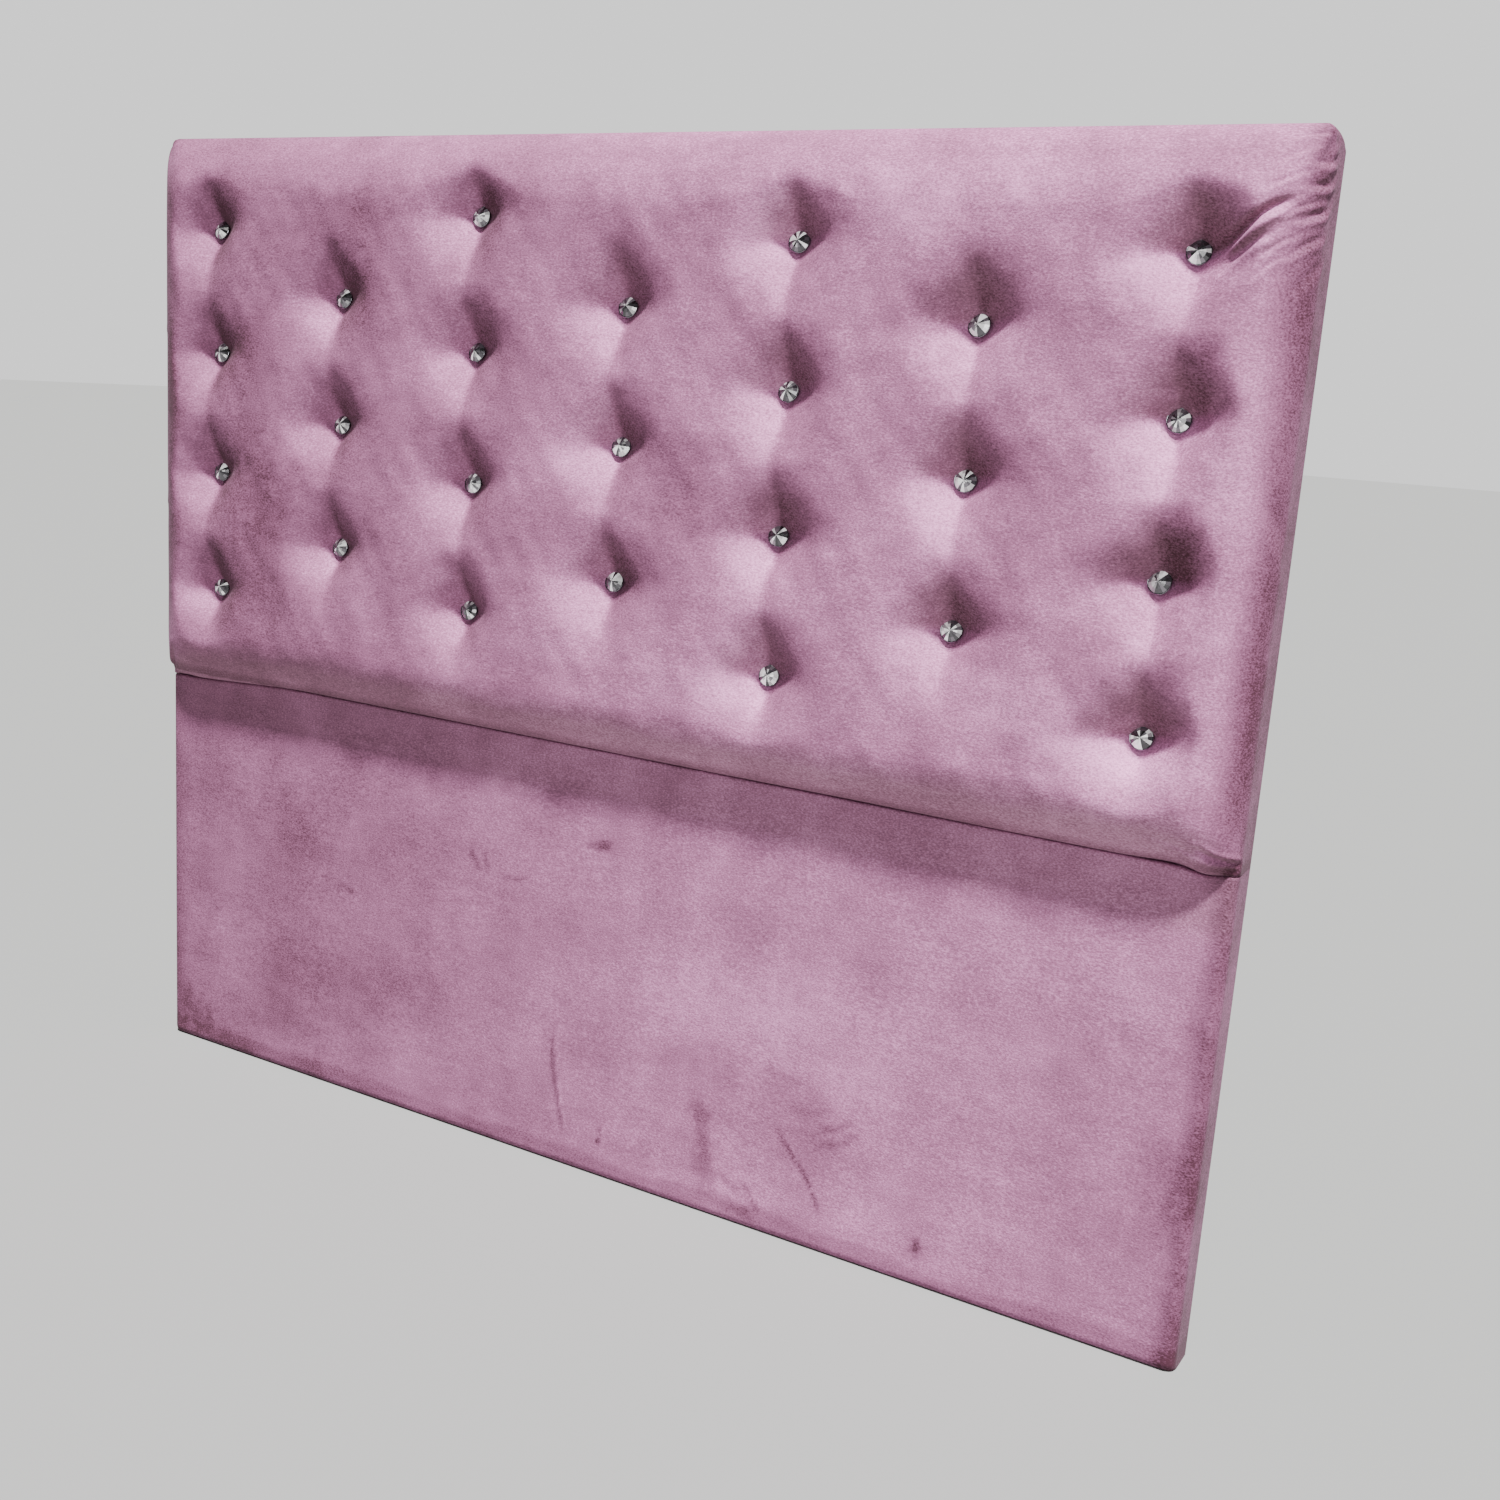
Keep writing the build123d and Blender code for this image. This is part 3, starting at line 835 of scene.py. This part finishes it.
# Marks that hands left in the pile: points in millimetres (x, z), half width and how far the
# pile is brushed, from -1 (deep) to 1 (pale)
PANEL_MARKS = [
    ([(-67, 175), (-64, 140), (-56, 98), (-42, 42)], 3.8, -0.24),
    ([(-53, 112), (-46, 70), (-36, 44)], 3.0, 0.12),
    ([(11, 66), (9, 40)], 3.0, -0.32),
    ([(145, 145), (152, 112), (160, 79), (164, 31)], 12.0, -0.19),
    ([(150, 30), (190, 24), (236, 15)], 7.0, -0.14),
    ([(209, 60), (222, 45), (237, 21)], 2.6, -0.20),
    ([(180, 60), (200, 47), (210, 43)], 5.5, -0.13),
    ([(247, 137), (270, 112), (300, 79), (313, 48)], 2.5, -0.26),
    ([(294, 88), (304, 70), (313, 48)], 4.0, -0.10),
    ([(262, 157), (290, 162), (318, 172)], 5.0, -0.13),
    ([(305, 147), (330, 156), (350, 168)], 4.0, -0.13),
    ([(308, 129), (336, 140), (358, 157)], 5.0, -0.13),
    ([(228, 204), (254, 196), (282, 192)], 7.0, -0.11),
    ([(428, 47), (440, 43)], 11.0, -0.36),
    ([(682, 256), (680, 180), (684, 92)], 24.0, -0.11),
    ([(700, 230), (704, 60)], 16.0, -0.08),
    ([(-715, 60), (-690, 42), (-640, 24)], 24.0, -0.17),
    ([(-201, 373), (-184, 347)], 3.0, -0.20),
    ([(-178, 374), (-172, 350)], 3.0, -0.18),
    ([(-6, 422), (-2, 408)], 14.0, -0.30),
    ([(-150, 345), (-108, 352)], 3.0, -0.16),
    ([(-420, 282), (-380, 276)], 5.0, -0.18),
    ([(-600, 150), (-430, 140), (-240, 165)], 38.0, -0.07),
    ([(-560, 300), (-300, 330)], 46.0, -0.06),
    ([(60, 240), (250, 250), (420, 230)], 50.0, 0.10),
    ([(360, 50), (460, 50), (600, 80)], 40.0, 0.06),
    ([(220, 135), (340, 110)], 45.0, -0.06),
]

PAD_MARKS_AND_SHADE = [
    ([(-560, 880), (-520, 790), (-500, 700)], 45.0, -0.12),
    ([(-690, 1000), (-680, 760)], 22.0, -0.10),
    ([(-480, 1120), (-300, 1090)], 40.0, -0.08),
    ([(90, 900), (120, 780)], 45.0, -0.10),
    ([(470, 700), (560, 640)], 40.0, 0.08),
    ([(300, 1130), (520, 1120)], 30.0, 0.10),
    ([(320, 1000), (400, 1040)], 34.0, -0.10),
    # Painted shade: the strip right of the last column's valley, turned from the light
    ([(644, 1080), (645, 900), (643, 640)], 15.0, -0.13),
]


def add_marks(nap_and_painted_light, x, y, z, marks):
    """Adds the listed marks with ragged edges to the nap; one of the pad's is painted shade."""
    ragged = 1 + 0.45 * slow_waves(x, z, 0.012, 0.05, 3)
    for points, width, strength in marks:
        off, along = off_line(x, z, softened(points))
        fade = np.clip(0.15 + 1.6 * np.sin(pi * along), 0, 1)
        spread = width / 1000 * ragged
        edge = 4 if width < BROAD_MARK else 2  # broad rubs fade out softly
        nap_and_painted_light += strength * fade * np.exp(-(np.abs(off / spread) ** edge)) * (y < 0.01)


def paint_nap_and_light(piece, marks):
    """Writes how the pile lies, 0.5 where nobody touched it, and painted light, shade and shade
    tint.
    """
    x, y, z = places_of(piece.data.vertices)
    normals = np.array([v.normal for v in piece.data.vertices])
    nap_and_painted_light = np.full(len(x), 0.5)
    # Painted light: the pad's underside is paler, as if lit from the floor
    reach = SEAM_Z + UNDERSIDE_REACH + 0.006 * slow_waves(x, z * 0, 0.09, 0.24, 17)
    under = step_up(-z, -reach - 0.014, -reach + 0.014) * (z > SEAM_Z - 0.012) * (y < -0.0045)
    nap_and_painted_light += UNDERSIDE_PAINTED_LIGHT * under
    # Painted shade deepens the seam, and the painted shadow under the pad is lifted a little
    nap_and_painted_light += SEAM_PAINTED_SHADE * (1 - step_up(z - SEAM_Z, 0.003, 0.017)) * (z > SEAM_Z - 0.0005)
    painted_shadow_under_pad = step_up(z, SEAM_Z - 0.078, SEAM_Z - 0.046) * (z < SEAM_Z - 0.0005)
    nap_and_painted_light += SHADOW_LIFT_UNDER_PAD * painted_shadow_under_pad
    # Painted shade darkens the sides
    side_start = HALF_WIDTH - SIDE_REACH + 0.006 * slow_waves(x * 0, z, 0.07, 0.25, 23)
    turned = step_up(np.abs(x), side_start, HALF_WIDTH - 0.002)
    nap_and_painted_light += np.where(x > 0, SIDE_PAINTED_SHADE, SIDE_PAINTED_SHADE * LEFT_SIDE_SHARE) * turned
    # Painted light and shade: faces that turn up and to the right, towards the light, are paler,
    # and faces turned away are deeper
    light_turn = np.radians(np.interp(x, *PAINTED_LIGHT_TURN))
    facing_light = normals[:, 0] * np.sin(light_turn) + normals[:, 2] * np.cos(light_turn)
    facing_light *= np.where(facing_light < 0, np.interp(x, *TURNED_AWAY), 1.0)
    front = step_up(HALF_WIDTH - np.abs(x), 0.004, 0.045) * step_up(TOP_Z - z, 0.015, 0.06)
    front *= (y < PANEL_Y) * step_up(z - SEAM_Z, 0.045, 0.105)
    nap_and_painted_light += FACING_PAINTED_LIGHT * np.clip(facing_light, *FACING_LIMITS) * front
    # Painted shade darkens the left end, where the light falls off; the foot is darker too
    nap_and_painted_light += LEFT_PAINTED_SHADE * step_up(-x, -0.25, 0.68)
    ragged_foot = z + 0.005 * slow_waves(x, z * 0, 0.04, 0.3, 19)
    nap_and_painted_light += FOOT_DARKENING * (1 - step_up(ragged_foot, 0.020, 0.029))
    add_marks(nap_and_painted_light, x, y, z, marks)
    # Painted shade: faces that turn down, and the shadow under the pad, get a greyer, browner tint
    painted_shade = np.clip((-normals[:, 2] - SHADE_TINT_START) / SHADE_TINT_GROWS, 0, 1)
    painted_shade *= (y < PANEL_Y + 0.002) * (z > 0.03)
    painted_shade *= np.where(z > SEAM_Z + 0.085, np.interp(x, *SHADE_TINT_BY_X), 1.0)
    painted_shade = np.maximum(painted_shade, SHADE_TINT_UNDER_PAD * painted_shadow_under_pad * (y < BOARD_Y))
    for name, values in (("nap_and_painted_light", nap_and_painted_light), ("painted_shade", painted_shade)):
        layer = piece.data.attributes.new(name, "FLOAT", "POINT")
        layer.data.foreach_set("value", values.astype(np.float32))


EDGE_STEP = 0.001  # mesh step at the panel's rounded edges


def build_panel(settings):
    """The velvet and thin foam of the plain panel."""
    panel = settings.headboard_panel
    sides = [(0.712, 0.8, EDGE_STEP), (-0.8, -0.712, EDGE_STEP)]
    xs = mesh_lines(-HALF_WIDTH, HALF_WIDTH, panel.mesh_step, sides)
    ends = [(-0.1, 0.012, EDGE_STEP), (0.500, 0.6, EDGE_STEP)]
    zs = mesh_lines(0.0, SEAM_Z, panel.mesh_step, ends)
    bm, x, z = front_sheet(xs, zs)
    side, foot, seam = HALF_WIDTH - np.abs(x), z, SEAM_Z - z
    depth = rim_drop(side, panel.rim) + rim_drop(foot, panel.foot_rim)
    depth += rim_drop(seam, panel.seam_rim)
    inner = step_up(np.minimum(side, np.minimum(foot, seam)), 0.01, 0.05)
    depth += panel.waves * (slow_waves(x, z, 0.09, 0.30, 21) + 1) * inner
    place_vertices(bm, x, PANEL_Y + depth, z)
    wrap_to_back(bm, 0.0)
    x, y, z = places_of(bm.verts)
    place_vertices(bm, x, y, z - seam_sag(x, y, z))
    piece = to_object(
        "plain_panel_velvet",
        bm,
        "brushed_polyester_velvet",
        ["lower_cover", "lower_foam"],
        radians(60),
    )
    paint_nap_and_light(piece, PANEL_MARKS)
    return piece


# ---------------------------------------------------------------- buttons


STONE_SHOWN = 0.90  # the photograph shows the buttons a little smaller than the solids
GIRDLE_AT = 0.53  # where a stone is widest, as a share of its depth from the point

# Painted reflections: a brightness drawn for each wedge and a smaller one for each facet
WEDGE_REFLECTIONS = (0.0, 0.85)
FACET_REFLECTIONS = (-0.15, 0.25)


def button_turn(column, row, tilt):
    """How a button hangs: tipped up by the velvet, and each a little apart."""
    random = np.random.default_rng(column * 10 + row)
    up = tilt + radians(random.uniform(-3, 3))
    aside = radians(random.uniform(-5, 5))
    spin = radians(random.uniform(0, 360))
    return (
        Matrix.Rotation(-up, 4, "X") @ Matrix.Rotation(aside, 4, "Z"),
        Matrix.Rotation(spin, 4, "Y"),
        random,
    )


def hang(bm, button, turn, seat, x, z):
    """Turns a stone or a cup about its seat and adds it to its column at its place."""
    pivot = Vector((0, seat, 0))
    around = Matrix.Translation(Vector((x, 0, z)) + pivot) @ turn @ Matrix.Translation(-pivot)
    bmesh.ops.transform(button, verts=button.verts, matrix=around)
    part = bpy.data.meshes.new("button")
    button.to_mesh(part)
    button.free()
    bm.from_mesh(part)
    bpy.data.meshes.remove(part)


def cut_stone(radius, front, back, count, random):
    """One cut crystal about the y axis, with each facet's painted reflection on its corners."""
    girdle = front + (back - front) * GIRDLE_AT
    rings = [
        (radius * 0.30, front + 0.0012),
        (radius * 0.64, front + (girdle - front) * 0.50),
        (radius * 0.98, girdle),
        (radius, girdle + 0.0005),
        (radius * 0.94, girdle + 0.0012),
        (radius * 0.5, back),
    ]
    stone = bmesh.new()
    bmesh.ops.create_circle(stone, cap_ends=False, segments=count, radius=radius)
    bmesh.ops.rotate(
        stone, verts=stone.verts, cent=(0, 0, 0), matrix=Matrix.Rotation(pi / 2, 3, "X")
    )
    edges = list(stone.edges)
    for k, (ring, y) in enumerate(rings):
        if k:
            made = bmesh.ops.extrude_edge_only(stone, edges=edges)["geom"]
            edges = [g for g in made if isinstance(g, bmesh.types.BMEdge)]
        for v in {v for e in edges for v in e.verts}:
            flat = Vector((v.co.x, 0, v.co.z)).normalized() * ring
            v.co = (flat.x, y, flat.z)
    bmesh.ops.edgeloop_fill(stone, edges=edges)
    rim = [e for e in stone.edges if e.is_boundary]
    point = bmesh.ops.extrude_edge_only(stone, edges=rim)["geom"]
    tip = [g for g in point if isinstance(g, bmesh.types.BMVert)]
    for v in tip:
        v.co = (0, front + 0.0002, 0)
    bmesh.ops.remove_doubles(stone, verts=tip, dist=1e-6)
    bmesh.ops.recalc_face_normals(stone, faces=stone.faces)
    bmesh.ops.split_edges(stone, edges=list(stone.edges))
    # Painted reflections: each facet's brightness, written to its corners
    painted_reflection = stone.verts.layers.float.new("painted_reflection")
    wedge_reflections = random.uniform(*WEDGE_REFLECTIONS, count)
    for face in stone.faces:
        centre = face.calc_center_median()
        wedge = int(np.arctan2(centre.z, centre.x) / tau * count) % count
        tone = wedge_reflections[wedge] + random.uniform(*FACET_REFLECTIONS)
        for v in face.verts:
            v[painted_reflection] = tone
    return stone


def spun_cup(profile):
    """One pressed cup, spun about the y axis from its profile."""
    cup = bmesh.new()
    points = [cup.verts.new((r, y, 0)) for r, y in profile]
    edges = [cup.edges.new(pair) for pair in zip(points[:-1], points[1:])]
    bmesh.ops.spin(
        cup,
        geom=points + edges,
        cent=(0, 0, 0),
        axis=(0, 1, 0),
        angle=tau,
        steps=32,
        use_merge=True,
    )
    bmesh.ops.remove_doubles(cup, verts=cup.verts, dist=1e-6)
    bmesh.ops.recalc_face_normals(cup, faces=cup.faces)
    return cup


def build_crystals(settings):
    """Each column's cut crystals: a point, three rings of facets and a girdle."""
    buttons = settings.headboard_buttons
    for column in COLUMNS:
        low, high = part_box(f"button_stones_column_{column}")
        radius = (high.x - low.x) / 2 * STONE_SHOWN
        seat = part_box(f"button_cups_column_{column}")[1].y
        bm = bmesh.new()
        # Room for each facet's painted reflection
        bm.verts.layers.float.new("painted_reflection")
        for row, (x, z) in enumerate(BUTTONS[column]):
            turn, spin, random = button_turn(column, row, buttons.tilt)
            stone = cut_stone(radius, low.y, high.y, buttons.facets, random)
            bmesh.ops.transform(stone, verts=stone.verts, matrix=spin)
            hang(bm, stone, turn, seat, x, z)
        to_object(
            f"cut_crystals_column_{column}",
            bm,
            "cut_crystal_painted_reflections",
            [f"button_stones_column_{column}"],
        )


def build_cups(settings):
    """Each column's plated cups: a spun bowl with a rolled lip over the stone's widest line."""
    buttons = settings.headboard_buttons
    for column in COLUMNS:
        low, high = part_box(f"button_cups_column_{column}")
        outer = (high.x - low.x) / 2 * STONE_SHOWN
        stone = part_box(f"button_stones_column_{column}")
        inner = (stone[1].x - stone[0].x) / 2 * STONE_SHOWN
        floor, lip = high.y, low.y
        profile = [
            (0.0, floor - 0.0010),
            (0.0055, floor - 0.0010),
            (inner * 0.62, floor - 0.0012),
            (inner * 0.99, lip + 0.0008),
            (inner * 1.00, lip + 0.0001),
            (inner * 1.02, lip - 0.0004),
            (outer * 0.97, lip - 0.0005),
            (outer, lip - 0.0001),
            (outer, lip + 0.0006),
            (outer * 0.93, lip + 0.0022),
            (outer * 0.74, floor - 0.0008),
            (outer * 0.60, floor),
            (0.0, floor),
        ]
        bm = bmesh.new()
        for row, (x, z) in enumerate(BUTTONS[column]):
            turn, _, _ = button_turn(column, row, buttons.tilt)
            hang(bm, spun_cup(profile), turn, floor, x, z)
        to_object(
            f"plated_cups_column_{column}",
            bm,
            "plated_pressed_steel",
            [f"button_cups_column_{column}"],
            radians(40),
        )


# ---------------------------------------------------------------- back


CLOTH_LINES = (143, 119)  # lines of mesh across and up
CLOTH_WALL = 0.0005
CLOTH_WAVES = 0.0008
CLOTH_PULL = 0.0004  # how far it stands off between two staples
STAPLE_GAP = 0.075
STAPLE_INSET = 0.008  # in from the cloth's edge
STAPLE_CROWN = 0.010
STAPLE_WIRE = 0.0012  # the wire's width, and twice its thickness
STAPLE_ASKEW = 0.25  # radians


def build_back(settings):
    """The dust cloth stapled over the frame, and its staples."""
    low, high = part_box("back_cloth")
    width, tall = high.x - low.x, high.z - low.z
    across, up = CLOTH_LINES
    bm, x, z = front_sheet(np.linspace(low.x, high.x, across), np.linspace(low.z, high.z, up))
    edge = np.minimum(np.minimum(x - low.x, high.x - x), np.minimum(z - low.z, high.z - z))
    slack = step_up(edge, 0.01, 0.09)
    y = high.y + CLOTH_WAVES * slow_waves(x, z, 0.10, 0.4, 31) * slack
    pull = CLOTH_PULL * np.cos(tau * (x + z) / STAPLE_GAP) * (1 - slack)
    place_vertices(bm, x, y + pull, z)
    bm.normal_update()
    if next(iter(bm.faces)).normal.y < 0:
        bmesh.ops.reverse_faces(bm, faces=bm.faces)
    bmesh.ops.solidify(bm, geom=bm.faces, thickness=CLOTH_WALL)
    cloth = to_object(
        "stapled_dust_cloth",
        bm,
        "spun_bonded_dust_cloth",
        ["back_cloth"],
        radians(50),
    )

    around = []
    for k in range(int((width - 2 * STAPLE_INSET) / STAPLE_GAP) + 1):
        place = low.x + STAPLE_INSET + 0.004 + k * STAPLE_GAP
        around += [(place, low.z + STAPLE_INSET, 0.0), (place, high.z - STAPLE_INSET, 0.0)]
    for k in range(1, int((tall - 2 * STAPLE_INSET) / STAPLE_GAP) + 1):
        place = low.z + STAPLE_INSET + k * STAPLE_GAP
        around += [(low.x + STAPLE_INSET, place, pi / 2), (high.x - STAPLE_INSET, place, pi / 2)]
    random = np.random.default_rng(8)
    bm = bmesh.new()
    for x, z, turned in around:
        askew = random.uniform(-STAPLE_ASKEW, STAPLE_ASKEW)
        turn = Matrix.Rotation(turned + askew, 3, "Y")
        made = bmesh.ops.create_cube(bm, size=1.0)["verts"]
        bmesh.ops.scale(bm, verts=made, vec=(STAPLE_CROWN, STAPLE_WIRE / 2, STAPLE_WIRE))
        bmesh.ops.rotate(bm, verts=made, cent=(0, 0, 0), matrix=turn)
        bmesh.ops.translate(bm, verts=made, vec=(x, high.y + STAPLE_WIRE / 2, z))
    to_object(
        "dust_cloth_staples",
        bm,
        "galvanised_staple_wire",
        [],
    )


# ---------------------------------------------------------------- operators


class HEADBOARD_OT_materials(bpy.types.Operator):
    """Make the materials, and give the frame's own parts theirs"""

    bl_idname = "headboard.materials"
    bl_label = "Materials"

    def execute(self, context):
        colours = context.scene.headboard_colours
        velvet(colours)
        foiled_crystal()
        dark_chrome()
        spun_cloth(colours)
        upright = sawn_timber(colours, "planed_pine_upright", "z")
        level = sawn_timber(colours, "planed_pine_level", "x")
        chosen = {
            "_rail": level,
            "stile": upright,
            "corner_block": upright,
            # Pressed chips of wood show as flecks of 3 mm
            "_board": plain_stuff("pressed_chipboard", "#a98458", "#d3b486", 3.0, 0.85),
            # Rolled steel with zinc shows as faint grey flakes
            "_screws": plain_stuff("zinc_plated_steel", "#8f9093", "#b9babd", 0.6, 0.35, 1.0),
            # Drawn wire is smooth and bright
            "button_shanks": plain_stuff("drawn_steel_wire", "#97989b", "#c2c3c6", 0.5, 0.3, 1.0),
            # Waxed flax twine shows its two strands
            "tufting_twine": plain_stuff("waxed_flax_twine", "#8d7d62", "#cbbd9f", 0.9, 0.8),
            # Grey card shows specks of old print and fibre
            "seam_tack_strip": plain_stuff("grey_tacking_card", "#8c867c", "#b5afa4", 1.5, 0.9),
        }
        plain_stuff("galvanised_staple_wire", "#a6a7aa", "#cfd0d3", 0.6, 0.35, 1.0)
        for name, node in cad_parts.items():
            for part, stuff in chosen.items():
                if part in name:
                    for place in node.material_slots:
                        place.material = stuff
        return {"FINISHED"}


class HEADBOARD_OT_pad(bpy.types.Operator):
    """Make the buttoned velvet pad"""

    bl_idname = "headboard.pad"
    bl_label = "Buttoned pad"

    def execute(self, context):
        build_pad(context.scene)
        return {"FINISHED"}


class HEADBOARD_OT_panel(bpy.types.Operator):
    """Make the plain velvet panel"""

    bl_idname = "headboard.panel"
    bl_label = "Plain panel"

    def execute(self, context):
        build_panel(context.scene)
        return {"FINISHED"}


class HEADBOARD_OT_crystals(bpy.types.Operator):
    """Make the cut crystals of the buttons"""

    bl_idname = "headboard.crystals"
    bl_label = "Crystals"

    def execute(self, context):
        build_crystals(context.scene)
        return {"FINISHED"}


class HEADBOARD_OT_cups(bpy.types.Operator):
    """Make the plated cups of the buttons"""

    bl_idname = "headboard.cups"
    bl_label = "Cups"

    def execute(self, context):
        build_cups(context.scene)
        return {"FINISHED"}


class HEADBOARD_OT_back(bpy.types.Operator):
    """Make the dust cloth on the back and its staples"""

    bl_idname = "headboard.back"
    bl_label = "Back cloth"

    def execute(self, context):
        build_back(context.scene)
        return {"FINISHED"}


class HEADBOARD_OT_stage(bpy.types.Operator):
    """Make the floor, the light and the camera"""

    bl_idname = "headboard.stage"
    bl_label = "Stage"

    def execute(self, context):
        colours = context.scene.headboard_colours
        bm = bmesh.new()
        bmesh.ops.create_grid(bm, x_segments=2, y_segments=2, size=30)
        mesh = bpy.data.meshes.new("studio_floor")
        bm.to_mesh(mesh)
        bm.free()
        floor = set_in_scene("studio_floor", mesh)
        # Matt painted floor: even and pale, with no gloss
        material, out = new_material("matt_floor_paint")
        surface = add(
            material,
            "ShaderNodeBsdfPrincipled",
            {"Base Color": (*colours.floor, 1.0), "Roughness": 0.9, "Specular IOR Level": 0.2},
        )
        material.node_tree.links.new(surface.outputs[0], out.inputs[0])
        mesh.materials.append(material)

        world = bpy.data.worlds.new("studio_air")
        world.use_nodes = True
        world.node_tree.nodes.clear()
        sky = (*colours.sky, 1.0)
        air = add(world, "ShaderNodeBackground", {"Color": sky, "Strength": AIR_STRENGTH})
        backdrop = add(
            world, "ShaderNodeBackground", {"Color": (1, 1, 1, 1), "Strength": BACKDROP_STRENGTH}
        )
        rays = add(world, "ShaderNodeLightPath")
        seen = add(
            world,
            "ShaderNodeMixShader",
            links={0: rays.outputs["Is Camera Ray"], 1: air.outputs[0], 2: backdrop.outputs[0]},
        )
        add(world, "ShaderNodeOutputWorld", links={0: seen.outputs[0]})
        context.scene.world = world

        lamp = bpy.data.lights.new("key_light", "SUN")
        lamp.energy = KEY_STRENGTH
        lamp.angle = radians(KEY_SOFTNESS_DEG)
        key = set_in_scene("key_light", lamp)
        key.rotation_euler = Vector(KEY_FROM).to_track_quat("Z", "Y").to_euler()

        panel = bpy.data.lights.new("fill_light", "AREA")
        panel.shape = "SQUARE"
        panel.size = FILL_SIZE
        panel.energy = FILL_POWER
        fill = set_in_scene("fill_light", panel)
        fill.location = FILL_PLACE
        aim = Vector(FILL_PLACE) - Vector(FILL_AIM)
        fill.rotation_euler = aim.to_track_quat("Z", "Y").to_euler()
        fill.visible_camera = False

        view = bpy.data.cameras.new("photo_camera")
        view.sensor_width = 36.0
        view.lens = PHOTO_LENS_MM
        camera = set_in_scene("photo_camera", view)
        yaw, pitch, roll = (radians(a) for a in PHOTO_TURN_DEG)
        ahead = Vector((-sin(yaw) * cos(pitch), cos(yaw) * cos(pitch), -sin(pitch)))
        level = Vector((cos(yaw), sin(yaw), 0))
        upright = level.cross(ahead)
        right = level * cos(roll) + upright * sin(roll)
        up = upright * cos(roll) - level * sin(roll)
        turned = Matrix((right, up, -ahead)).transposed().to_4x4()
        camera.matrix_world = Matrix.Translation(PHOTO_PLACE) @ turned
        context.scene.camera = camera
        return {"FINISHED"}


# Light and camera, worked out from the edges and shadows in the photograph
KEY_FROM = (0.24, -0.29, 0.93)
KEY_STRENGTH = 13.0
KEY_SOFTNESS_DEG = 5.0
FILL_PLACE = (1.5, -2.4, 1.7)
FILL_AIM = (0.35, 0.0, 0.65)
FILL_SIZE = 1.2
FILL_POWER = 24.0
AIR_STRENGTH = 0.11
BACKDROP_STRENGTH = 1.15  # how bright the plain backdrop looks
PHOTO_LENS_MM = 40.86
PHOTO_TURN_DEG = (29.47, 12.15, 3.92)
PHOTO_PLACE = (1.084, -1.596, 0.955)

PIECES = ("materials", "pad", "panel", "crystals", "cups", "back", "stage")


class HEADBOARD_PT_panel(bpy.types.Panel):
    """Lists the headboard's pieces and settings"""

    bl_label = "Headboard"
    bl_idname = "HEADBOARD_PT_panel"
    bl_space_type = "VIEW_3D"
    bl_region_type = "UI"
    bl_category = "Headboard"

    def draw(self, context):
        for name in PIECES:
            self.layout.operator(f"headboard.{name}")
        for group in (
            context.scene.headboard_pad,
            context.scene.headboard_panel,
            context.scene.headboard_buttons,
            context.scene.headboard_colours,
        ):
            box = self.layout.box()
            for name in group.bl_rna.properties.keys():
                if name not in ("rna_type", "name"):
                    box.prop(group, name)


CLASSES = (
    HeadboardPad,
    HeadboardPanel,
    HeadboardButtons,
    HeadboardColours,
    HEADBOARD_OT_materials,
    HEADBOARD_OT_pad,
    HEADBOARD_OT_panel,
    HEADBOARD_OT_crystals,
    HEADBOARD_OT_cups,
    HEADBOARD_OT_back,
    HEADBOARD_OT_stage,
    HEADBOARD_PT_panel,
)
GROUPS = {
    "headboard_pad": HeadboardPad,
    "headboard_panel": HeadboardPanel,
    "headboard_buttons": HeadboardButtons,
    "headboard_colours": HeadboardColours,
}


def register():
    for kind in CLASSES:
        bpy.utils.register_class(kind)
    for name, group in GROUPS.items():
        setattr(bpy.types.Scene, name, bpy.props.PointerProperty(type=group))


def unregister():
    for name in GROUPS:
        delattr(bpy.types.Scene, name)
    for kind in reversed(CLASSES):
        bpy.utils.unregister_class(kind)


def main():
    """Registers the add-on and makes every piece."""
    register()
    for name in PIECES:
        getattr(bpy.ops.headboard, name)()


if __name__ == "__main__":
    main()
